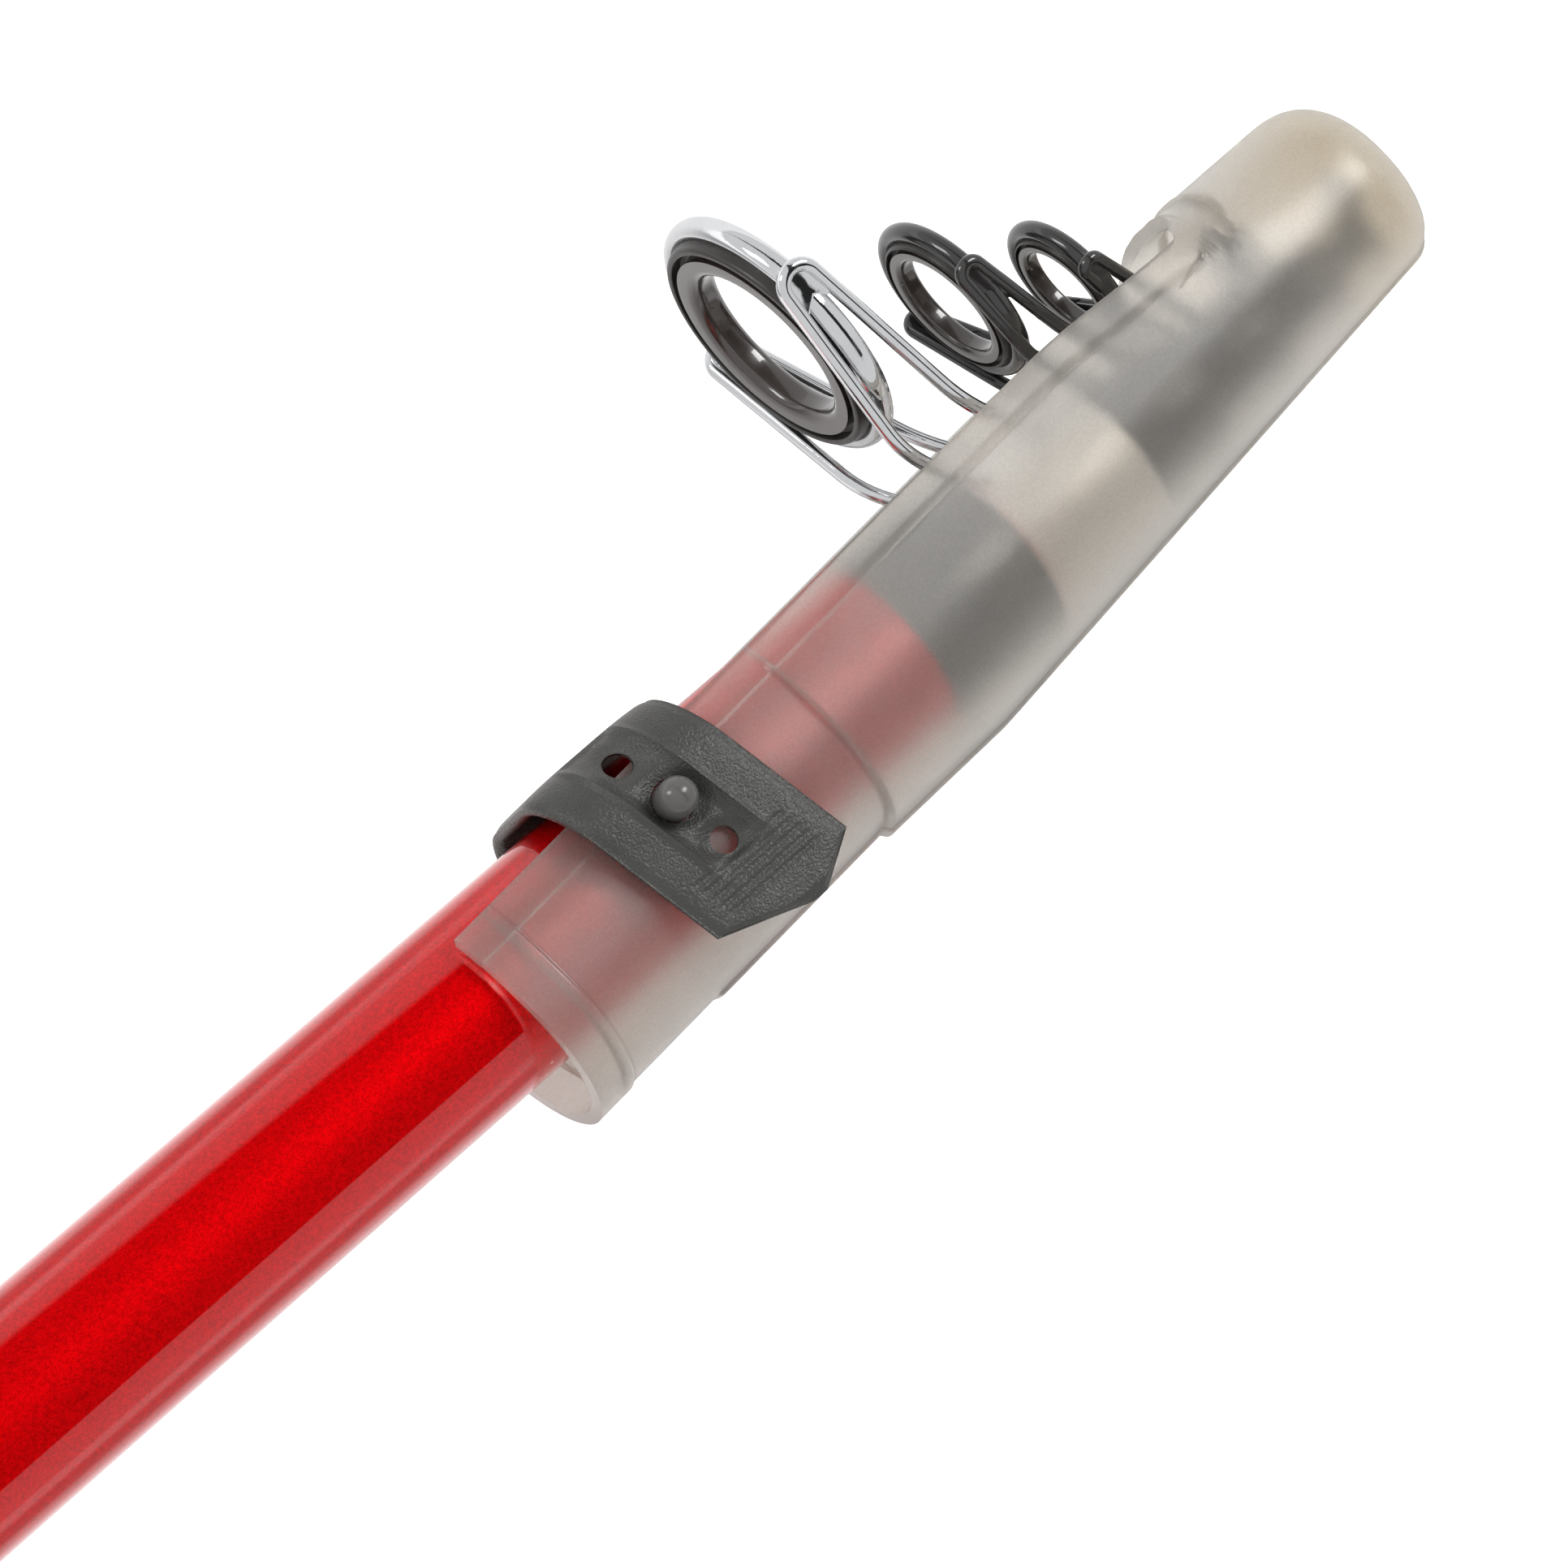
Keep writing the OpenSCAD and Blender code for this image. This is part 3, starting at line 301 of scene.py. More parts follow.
def strap_rubber():
    finish = Finish("strap_rubber")
    cloud = finish.noise(300, 3)
    grain = finish.noise(4600, 2)
    dust = (finish.cells(620) < 0.05) * finish.span(finish.noise(160, 2), 0.42, 0.6)
    skin = finish.blend(cloud, (0.034, 0.034, 0.031, 1), (0.058, 0.057, 0.052, 1))
    finish.feed("Base Color", finish.blend(dust * 0.8, skin, (0.45, 0.43, 0.36, 1)))
    finish.feed("Roughness", 0.25 + grain * 0.16)
    finish.bump(grain + cloud * 0.6, 0.13 * MM, 0.8)
    return finish.data


def satin(name, dark, light, roughness, grain_scale=2600, depth=0.04 * MM):
    finish = Finish(name)
    cloud = finish.noise(260, 3)
    grain = finish.noise(grain_scale, 2)
    finish.feed("Base Color", finish.blend(cloud, dark, light))
    finish.feed("Roughness", roughness + grain * 0.14)
    finish.bump(grain, depth, 0.7)
    return finish.data


def grip_foam():
    finish = Finish("grip_foam")
    pores = finish.cells(1500)
    cloud = finish.noise(120, 3)
    finish.feed("Base Color", finish.blend(cloud, (0.028, 0.028, 0.029, 1), (0.05, 0.05, 0.051, 1)))
    finish.feed("Roughness", 0.72 + finish.span(pores, 0, 0.5, 0.16, 0))
    finish.bump(pores + cloud * 0.5, 0.12 * MM, 0.8)
    return finish.data


def brushed_metal(name, dark, light, roughness=0.2, metallic=1.0):
    finish = Finish(name, Metallic=metallic)
    lines = finish.noise(900, 4, (8, 1, 1))
    finish.feed("Base Color", finish.blend(lines, dark, light))
    finish.feed("Roughness", roughness + lines * 0.16)
    finish.bump(lines, 0.02 * MM, 0.5)
    return finish.data


def dark_fibre():
    finish = Finish("section_fibre", Coat_Weight=1.0, Coat_Roughness=0.04)
    strands = finish.noise(800, 3, (0.05, 1, 1))
    finish.feed("Base Color", finish.blend(strands, (0.02, 0.02, 0.024, 1), (0.075, 0.075, 0.085, 1)))
    finish.feed("Roughness", 0.26 + strands * 0.14)
    return finish.data


FINISHES = {
    "blank_lacquer": red_lacquer(),
    "collar_black": gloss_black("collar_black", (0.03, 0.029, 0.028, 1), 500, 0.2),
    "grip_foam": grip_foam(),
    "check_metal": brushed_metal("check_metal", (0.7, 0.7, 0.72, 1), (0.85, 0.85, 0.87, 1)),
    "seat_plastic": satin("seat_plastic", (0.022, 0.022, 0.024, 1), (0.038, 0.038, 0.04, 1), 0.3),
    "arbor_foam": satin("arbor_foam", grey(0.2), grey(0.32), 0.8),
    "nut_metal": brushed_metal("nut_metal", (0.6, 0.61, 0.63, 1), (0.78, 0.79, 0.81, 1)),
    "plug_plastic": satin("plug_plastic", grey(0.03), grey(0.05), 0.4),
    "butt_rubber": satin("butt_rubber", grey(0.022), grey(0.04), 0.62, 1800, 0.08 * MM),
    "section_fibre": dark_fibre(),
    "guide_chrome": chrome(),
    "guide_black": gloss_black("guide_black", (0.014, 0.013, 0.0125, 1)),
    "shock_plastic": satin(
        "shock_plastic", (0.02, 0.018, 0.016, 1), (0.036, 0.033, 0.03, 1), 0.26, depth=0.01 * MM
    ),
    "insert_ceramic": ceramic(),
    "cap_frost": frosted_plastic(),
    "strap_rubber": strap_rubber(),
    "pin_plastic": satin(
        "pin_plastic", (0.085, 0.083, 0.08, 1), (0.12, 0.117, 0.113, 1), 0.13, depth=0.004 * MM
    ),
}
OWN_FINISHES = {
    "guide_1_sleeve": brushed_metal("sleeve_metal", (0.82, 0.8, 0.77, 1), (0.95, 0.94, 0.92, 1), 0.36, 0.45),
}
SLOT_OF_NODE = {part["node"]: part["material_slot"] for part in frame["record"]["subparts"]}
BODY_OF_NODE = {
    node: body for body, nodes in frame["record"]["behaviour"]["bodies"].items() for node in nodes
}


# Making pieces
LATHE_STEPS = 96
EDGE_SEGMENTS = 3
SOFT_EDGE = 0.25 * MM


def new_object(name, bm, sharp=40):
    """Turns a bmesh into a smooth-shaded object, creased where its faces meet at a sharp angle."""
    mesh = bpy.data.meshes.new(name)
    bm.to_mesh(mesh)
    bm.free()
    for polygon in mesh.polygons:
        polygon.use_smooth = True
    mesh.set_sharp_from_angle(angle=math.radians(sharp))
    made = bpy.data.objects.new(name, mesh)
    bpy.context.scene.collection.objects.link(made)
    return made


def round_edges(piece, width, sharp):
    edge = piece.modifiers.new("edge", "BEVEL")
    edge.width = width
    edge.segments = EDGE_SEGMENTS
    edge.limit_method = "ANGLE"
    edge.angle_limit = math.radians(sharp)


def dress(piece, node):
    """Gives a piece the finish of its CAD node's material slot."""
    slot = SLOT_OF_NODE[node]
    piece.data.materials.clear()
    piece.data.materials.append(OWN_FINISHES.get(node, FINISHES[slot]))


def finish_piece(name, bm, node, sharp=40, bevel=0.0):
    """Makes a piece that stands for a CAD node and rides on its body."""
    piece = new_object(name, bm, sharp)
    if bevel:
        round_edges(piece, bevel, sharp)
    dress(piece, node)
    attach(piece, BODY_OF_NODE[node])
    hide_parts(node)
    return piece


def softened(node):
    """A copy of a CAD node with its edges rounded over."""
    bm = bmesh.new()
    bm.from_mesh(frame["nodes"][node].data)
    bmesh.ops.remove_doubles(bm, verts=bm.verts, dist=0.002 * MM)
    bmesh.ops.dissolve_limit(
        bm, angle_limit=math.radians(1), verts=bm.verts, edges=bm.edges, use_dissolve_boundaries=False
    )
    return finish_piece(node + "_soft", bm, node, bevel=SOFT_EDGE)


def everything(bm):
    return list(bm.verts) + list(bm.edges) + list(bm.faces)


def polyline(bm, profile):
    """Joins (along, radius) points by edges, in one open row."""
    corners = [bm.verts.new((along, radius, 0)) for along, radius in profile]
    return [bm.edges.new(pair) for pair in zip(corners, corners[1:])]


def spin(bm, edges, steps, turns=1, climb=0.0):
    """Spins edges round the X axis. A climb at each step makes an open helix of them."""
    bmesh.ops.spin(
        bm, geom=edges, cent=(0, 0, 0), axis=X_AXIS, dvec=(climb, 0, 0), angle=FULL_TURN * turns,
        steps=steps * turns, use_merge=not climb, use_duplicate=False,
    )


def lathe(bm, profile, rounding=0.0):
    """Spins a closed profile of (along, radius) points round the X axis, its corners rounded over."""
    corners = [bm.verts.new((along, radius, 0)) for along, radius in profile]
    face = bm.faces.new(corners)
    if rounding:
        bmesh.ops.bevel(
            bm, geom=list(face.verts), offset=rounding, segments=4, profile=0.5, affect="VERTICES",
            material=-1, clamp_overlap=True,
        )
    outline = list(bm.edges)
    bmesh.ops.delete(bm, geom=list(bm.faces), context="FACES_ONLY")
    spin(bm, outline, LATHE_STEPS)
    bmesh.ops.recalc_face_normals(bm, faces=bm.faces)


def sweep(bm, points, radius):
    """Adds a round wire along a row of points to a bmesh."""
    data = bpy.data.curves.new("sweep", "CURVE")
    data.dimensions = "3D"
    data.bevel_depth = radius
    data.bevel_resolution = 5
    data.use_fill_caps = True
    spline = data.splines.new("POLY")
    spline.points.add(len(points) - 1)
    for knot, point in zip(spline.points, points):
        knot.co = (*point, 1)
    holder = bpy.data.objects.new("sweep", data)
    bpy.context.scene.collection.objects.link(holder)
    graph = bpy.context.evaluated_depsgraph_get()
    mesh = bpy.data.meshes.new_from_object(holder.evaluated_get(graph))
    bm.from_mesh(mesh)
    bpy.data.objects.remove(holder)
    bpy.data.curves.remove(data)
    bpy.data.meshes.remove(mesh)


# Guides: the same sizes as the solids, in millimetres
GUIDE_1_HOOP_R = 11.45


class Guide:
    """A ring on a sleeve, held up by a hairpin of bent wire on each side."""

    HOOP_WIRE_SHARE, HOOP_POINTS = 0.62, 28
    DEPTH_SHARE = 0.15
    FRONT_SHARE, BACK_SHARE, GROOVE_SHARE = 1.9, 1.7, 0.13
    LEAST_INSERT_HALF = 0.55
    FOOT_SHARE = 0.7
    REAR_FOOT, FRONT_FOOT, FOOT_MARGIN = 1.2, 9.9, 1
    BEND_AHEAD, BEND_OUT = 0.14, 0.15
    WEB_REACH, NOTCH_SHARE, WEB_THICK = 1.3, 0.7, 0.5

    def __init__(self, number, ring, hairpin, knee, tilt=4):
        self.number = number
        self.name = "guide_%d" % number
        self.height, self.hoop_r, self.hole_r, insert_width, self.hoop_stretch = ring
        self.wire_d, self.apex_rise, self.apex_shift, bend, self.web_share = hairpin
        self.knee_ahead, self.knee_rise, self.knee_out = knee
        self.size = self.hoop_r / GUIDE_1_HOOP_R
        self.bend_r = bend * self.wire_d
        self.hoop_wire = self.HOOP_WIRE_SHARE * self.wire_d
        self.depth = self.DEPTH_SHARE * self.hoop_r
        self.tilt = math.radians(tilt)
        self.insert_r = self.hole_r + (self.hoop_r - self.hole_r) * insert_width
        low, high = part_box(self.name + "_hoop")
        self.ring_x = (low.x + high.x) / 2 / MM
        low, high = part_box(self.name + "_sleeve")
        self.sleeve_x = low.x / MM
        self.sleeve_end = high.x / MM
        self.sleeve_r = high.z / MM

    def place(self):
        turn = Matrix.Rotation(self.tilt, 4, "Z")
        return Matrix.Translation((self.ring_x * MM, self.height * MM, 0)) @ turn @ Matrix.Scale(MM, 4)

    def ring_piece(self, part, profile, rounding=0.0, sharp=50):
        bm = bmesh.new()
        lathe(bm, profile, rounding)
        bmesh.ops.transform(bm, matrix=self.place(), verts=bm.verts)
        return finish_piece(self.name + "_" + part + "_turned", bm, self.name + "_" + part, sharp=sharp)

    def hoop(self):
        r = self.hoop_wire
        middle = self.hoop_r - r
        ahead = (self.hoop_stretch - 1) * r
        turns = [FULL_TURN * i / self.HOOP_POINTS for i in range(self.HOOP_POINTS)]
        outline = [(ahead + self.hoop_stretch * r * math.cos(a), middle + r * math.sin(a)) for a in turns]
        self.ring_piece("hoop", outline, sharp=80)

    def shock_ring(self):
        d = self.depth
        groove = (self.hoop_r - self.hole_r) * self.GROOVE_SHARE
        front = self.hoop_r - self.FRONT_SHARE * self.hoop_wire
        back = self.hoop_r - self.BACK_SHARE * self.hoop_wire
        seat = front + 0.25 * self.hoop_wire
        inner = self.insert_r
        self.ring_piece("shock_ring", [
            (-0.3 * d, inner),
            (-0.3 * d, inner + groove),
            (-0.9 * d, inner + groove),
            (-0.9 * d, front - 0.1 * d),
            (-0.8 * d, front),
            (-0.3 * d, seat),
            (0, seat),
            (0.45 * d, back),
            (0.8 * d, back),
            (0.9 * d, back - 0.15 * d),
            (0.9 * d, inner),
        ], 0.07 * d)

    def insert(self):
        half = max(0.8 * self.depth, self.LEAST_INSERT_HALF)
        mid = -0.1 * self.depth
        rim = min(0.8 * half, 0.48 * (self.insert_r - self.hole_r))
        turns = [QUARTER_TURN * i / 8 for i in range(9)]
        front = [(mid - half + rim - rim * math.sin(a), self.hole_r + rim - rim * math.cos(a)) for a in turns]
        rear = [(2 * mid - x, y) for x, y in reversed(front)]
        shoulder = [(mid - half, self.insert_r), (mid + half, self.insert_r)]
        self.ring_piece("insert", rear + front + shoulder, sharp=60)

    def foot(self, x):
        return Vector((x, self.FOOT_SHARE * self.sleeve_r, self.FOOT_SHARE * self.sleeve_r))

    def knee(self, x):
        low = self.sleeve_r + self.knee_rise * (self.height - self.sleeve_r)
        return Vector((x, low, self.knee_out * self.hoop_r))

    def rear_leg(self):
        foot = self.foot(self.sleeve_x + self.REAR_FOOT * self.size + self.wire_d / 2)
        return foot, self.knee(self.sleeve_x + self.knee_ahead)

    def front_leg(self):
        foot = self.foot(min(self.ring_x + self.FRONT_FOOT * self.size, self.sleeve_end - self.FOOT_MARGIN))
        return foot, self.knee((foot.x + self.ring_x) / 2 + self.size)

    def bend_middle(self):
        x = self.ring_x + (self.apex_shift + self.BEND_AHEAD) * self.hoop_r
        y = self.height + self.apex_rise * self.hoop_r - self.bend_r
        return Vector((x, y, self.hoop_r + self.BEND_OUT * self.wire_d))

    def bend(self):
        """Points of the arc over the top, tangent to both legs."""
        middle = self.bend_middle()
        back = (self.rear_leg()[1] - middle).normalized()
        fore = (self.front_leg()[1] - middle).normalized()
        up = -(back + fore).normalized()
        side = (fore - back).normalized()
        half = QUARTER_TURN - back.angle(fore) / 2
        turns = [half * i / 8 for i in range(-8, 9)]
        return [middle + (side * math.sin(a) + up * math.cos(a)) * self.bend_r for a in turns]

    def leg(self, foot, knee, top):
        """Points from the foot round the knee to the bend."""
        start = knee.lerp(foot, 0.6)
        end = knee.lerp(top, 0.2)
        shares = [i / 10 for i in range(11)]
        turn = [start.lerp(knee, t).lerp(knee.lerp(end, t), t) for t in shares]
        return [foot] + turn + [top]

    def web(self, bm):
        """Thin domed sheet between the two legs, from the bend down to a notch."""
        arc = self.bend()
        rear = arc[0].lerp(self.rear_leg()[1], self.WEB_REACH * self.web_share)
        front = arc[-1].lerp(self.front_leg()[1], self.WEB_REACH * self.web_share)
        notch = self.bend_middle().lerp((rear + front) / 2, self.NOTCH_SHARE)
        corners = [bm.verts.new(point) for point in [rear] + arc[1:-1:3] + [front, notch]]
        sheet = bm.faces.new(corners)
        sheet.normal_update()
        if sheet.normal.z < 0:
            sheet.normal_flip()
        thick = self.WEB_THICK * self.wire_d
        dome = bmesh.ops.poke(
            bm, faces=[sheet], offset=thick, center_mode="MEAN_WEIGHTED", use_relative_offset=False
        )["faces"]
        bmesh.ops.solidify(bm, geom=dome, thickness=thick)

    def legs(self):
        arc = self.bend()
        rear = self.leg(*self.rear_leg(), arc[0])
        front = self.leg(*self.front_leg(), arc[-1])
        bm = bmesh.new()
        sweep(bm, rear + arc[1:-1] + front[::-1], self.wire_d / 2)
        self.web(bm)
        bmesh.ops.mirror(bm, geom=everything(bm), matrix=Matrix.Identity(4), merge_dist=0, axis="Z")
        bmesh.ops.scale(bm, vec=(MM, MM, MM), verts=bm.verts)
        bmesh.ops.recalc_face_normals(bm, faces=bm.faces)
        finish_piece(self.name + "_legs_bent", bm, self.name + "_legs", sharp=60)

    def make(self):
        self.hoop()
        if self.number < 4:
            self.shock_ring()
        self.insert()
        self.legs()


# Each ring: height, hoop radius, hole radius, share of the width that the insert takes, stretch of the hoop.
# Each hairpin: wire diameter, rise and shift of its apex, size of its bend, reach of its web.
# Each knee: how far ahead of the sleeve's rear end it lies, its rise and its distance from the middle.
GUIDES = [
    Guide(1, (23.9, GUIDE_1_HOOP_R, 6.95, 0.42, 1.42), (1.2, 0.24, -0.13, 1.3, 0.12), (-2.6, 0.17, 0.52)),
    Guide(2, (17.1, 7.6, 4.6, 0.34, 1.15), (1.15, 0.17, -0.18, 0.78, 0.36), (-1.2, 0.32, 0.52)),
    Guide(3, (12.2, 6.2, 3.7, 0.3, 1.15), (1.1, 0.07, -0.15, 0.68, 0.36), (-1, 0.5, 0.52)),
    Guide(4, (6.3, 2.9, 1.5, 0.398, 1), (0.8, 0.2, 0, 0.72, 0.3), (1.3, 0.12, 0.6), tilt=0),
]


def soft(s, s0, s1, a, b):
    """Goes from a to b while s goes from s0 to s1, easing in and out."""
    t = min(1, max(0, (s - s0) / (s1 - s0)))
    return a + (b - a) * t * t * (3 - 2 * t)


def ramp(s, s0, s1, a, b):
    """Goes straight from a to b while s goes from s0 to s1."""
    return a + (b - a) * min(1, max(0, (s - s0) / (s1 - s0)))


# Tip cap: a thin shell on its own line, in millimetres
class Cap:
    BACK, DROP = -54.2, -3.1
    TILT = math.radians(4.15)
    LENGTH, WALL = 99.6, 1.1
    HALF, HALF_FRONT, HALF_LOSS = 9.0, 9.35, 0.5
    DEPTH, KNEE_DEPTH, END_DEPTH = 9.2, 10.25, 7.7
    STEP_S, STEP_RISE = 32, 0.6
    KNEE_S = 45
    HOOD_S, HOOD_TOP, HOOD_FALL = 83, 8.9, 1.0
    SLOT_EDGE, SLOT_DIP, SLOT_RISE, SLOT_END = 8.0, 1.3, 4.6, 82.1
    RIB_START, RIB_RISE, RIB_HALF = 13.2, 0.3, 1.25
    RIM_BAND, RIM_DROP, RIM_LINE = 2.6, 0.16, 0.1
    MOUTH_BAND, MOUTH_RISE = 3.8, 0.22
    DOME, BACK_DOME = 6.0, 3.6
    ROUND, BOXY, HOOD_ROUNDER = 2.3, 4, 1.6
    # How dark the painted shade in the step, mouth and rib lines is.
    STEP_LINE, MOUTH_LINE, RIB_LINE = 0.45, 0.55, 0.9
    EDGE = 0.28

    def at_step(self, s, before, after):
        return soft(s, self.STEP_S - 0.1, self.STEP_S + 0.5, before, after)

    def half_width(self, s):
        wide = self.at_step(s, self.HALF, self.HALF_FRONT)
        return wide - soft(s, self.HOOD_S, self.LENGTH, 0, self.HALF_LOSS)

    def back_depth(self, s):
        step = self.at_step(s, 0, self.STEP_RISE)
        swell = ramp(s, self.STEP_S, self.KNEE_S, 0, self.KNEE_DEPTH - self.DEPTH - self.STEP_RISE)
        fall = ramp(s, self.KNEE_S, self.LENGTH, 0, self.KNEE_DEPTH - self.END_DEPTH)
        return self.DEPTH + step + swell - fall

    def top(self, s):
        rise = soft(s, self.HOOD_S - 12, self.HOOD_S + 1, self.HOOD_TOP + 4, self.HOOD_TOP)
        return rise - ramp(s, self.HOOD_S + 2, self.LENGTH, 0, self.HOOD_FALL)

    def power(self, s):
        """How boxy the side of the slot is: 2 is round."""
        box = soft(s, self.STEP_S, self.STEP_S + 14, self.ROUND, self.BOXY)
        return box + soft(s, self.HOOD_S - 8, self.HOOD_S + 6, 0, -self.HOOD_ROUNDER)

    def slot_height(self, s):
        dip = soft(s, self.HOOD_S - 19, self.HOOD_S - 2.6, 0, self.SLOT_DIP)
        rise = soft(s, self.HOOD_S - 3.2, self.HOOD_S + 1.2, 0, self.SLOT_RISE)
        return self.SLOT_EDGE - dip + rise

    def edge_angle(self, s):
        share = min(1, self.slot_height(s) / self.top(s))
        return math.asin(share ** (self.power(s) / 2))

    def dome_scale(self, s, length):
        t = max(0, (s - (self.LENGTH - length)) / length)
        return math.sqrt(max(0, 1 - 0.97 * min(t, 1) ** 3))

    def rim(self, s, y):
        """Relief of the band round the slot, which ends in a fine raised line."""
        down = max(0, self.slot_height(min(s, self.SLOT_END - 1.6)) - y)
        away = math.hypot(max(0, s - self.SLOT_END), down)
        line = soft(abs(away - self.RIM_BAND), 0, 0.22, self.RIM_LINE, 0)
        return line - self.RIM_DROP * soft(away, self.RIM_BAND - 0.25, self.RIM_BAND, 1, 0)

    def point(self, s, v):
        """Point of the outer face at s along the cap and v across it, from the near edge to the far one."""
        edge = self.edge_angle(s)
        a = edge - v * (math.pi + 2 * edge)
        n = self.power(s) if math.sin(a) > 0 else 2
        shrink = self.dome_scale(s, self.DOME)
        cz = math.copysign(abs(math.cos(a)) ** (2 / n), math.cos(a))
        cy = math.copysign(abs(math.sin(a)) ** (2 / n), math.sin(a))
        band = self.rim(s, self.top(s) * cy) if cy > 0 else 0
        band += self.MOUTH_RISE * soft(s, self.MOUTH_BAND - 0.25, self.MOUTH_BAND, 1, 0)
        z = (self.half_width(s) + band) * shrink * cz
        if cy > 0:
            hood_band = soft(s, self.HOOD_S - 3, self.HOOD_S, 0, band)
            return Vector((s, (self.top(s) + hood_band) * shrink * cy, z))
        y = (self.back_depth(s) + band) * self.dome_scale(s, self.BACK_DOME) * cy
        rib = soft(abs(z), self.RIB_HALF - 0.35, self.RIB_HALF, 1, 0)
        rib *= soft(s, self.RIB_START, self.RIB_START + 0.8, 0, self.RIB_RISE)
        return Vector((s, y - rib * self.dome_scale(s, self.BACK_DOME), z))

    def painted_crease_shade(self, s, place):
        """How much painted shade darkens a point in one of the moulded lines, from 0 to 1."""
        step = soft(abs(s - self.STEP_S - 0.1), 0, 0.25, self.STEP_LINE, 0)
        mouth = soft(abs(s - self.MOUTH_BAND - 0.1), 0, 0.25, self.MOUTH_LINE, 0)
        rib = 0
        if place.y < 0 and s > self.RIB_START:
            rib = soft(abs(abs(place.z) - self.RIB_HALF), 0.05, 0.3, self.RIB_LINE, 0)
        return max(step, mouth, rib)

    def stations(self):
        """Places along the cap, close together where its form changes."""
        knots = [
            (0, 3), (self.MOUTH_BAND - 0.5, 8), (self.MOUTH_BAND + 0.3, 6), (self.RIB_START - 0.3, 7),
            (self.RIB_START + 1.2, 11), (self.STEP_S - 0.5, 10), (self.STEP_S + 0.9, 16),
            (self.HOOD_S - 18, 9), (self.HOOD_S - 4, 26), (self.HOOD_S + 1, 3), (self.HOOD_S + 1.4, 8),
            (self.HOOD_S + 2.2, 5), (self.LENGTH - self.DOME, 20),
        ]
        made = []
        for (start, count), (end, _) in zip(knots, knots[1:] + [(self.LENGTH, 0)]):
            last = end == self.LENGTH
            for i in range(count):
                share = math.sin(QUARTER_TURN * i / count) if last else i / count
                made.append(start + (end - start) * share)
        return made + [self.LENGTH]

    def across(self):
        """Places across the cap, close together at the slot's rim and at the rib."""
        knots = [(0, 7), (0.055, 14), (0.1, 16), (0.45, 5), (0.462, 5), (0.474, 5)]
        half = []
        for (start, count), (end, _) in zip(knots, knots[1:] + [(0.5, 0)]):
            half += [start + (end - start) * i / count for i in range(count)]
        return half + [0.5] + [1 - v for v in reversed(half)]

    def make(self):
        stations = self.stations()
        across = self.across()
        bm = bmesh.new()
        bmesh.ops.create_grid(bm, x_segments=len(stations) - 1, y_segments=len(across) - 1, size=0.5)
        # Each point keeps how much painted shade darkens it in the moulded lines.
        painted_crease_shade = bm.verts.layers.float.new("painted_crease_shade")
        for vert in bm.verts:
            i = round((vert.co.x + 0.5) * (len(stations) - 1))
            j = round((vert.co.y + 0.5) * (len(across) - 1))
            vert.co = self.point(stations[i], across[j])
            vert[painted_crease_shade] = self.painted_crease_shade(stations[i], vert.co)
        bmesh.ops.remove_doubles(bm, verts=bm.verts, dist=0.002)
        last = self.LENGTH - 0.01
        end = [edge for edge in bm.edges if edge.is_boundary and min(v.co.x for v in edge.verts) > last]
        bmesh.ops.holes_fill(bm, edges=end, sides=0)
        bmesh.ops.recalc_face_normals(bm, faces=bm.faces)
        turn = Matrix.Rotation(self.TILT, 4, "Z")
        start = Matrix.Translation((mouth_x + self.BACK * MM, self.DROP * MM, 0))
        bmesh.ops.transform(bm, matrix=start @ turn @ Matrix.Scale(MM, 4), verts=bm.verts)
        piece = finish_piece("tip_cap_shell", bm, "tip_cap", sharp=80)
        wall = piece.modifiers.new("wall", "SOLIDIFY")
        wall.thickness = self.WALL * MM
        wall.offset = -1
        wall.use_even_offset = False
        round_edges(piece, self.EDGE * MM, 50)


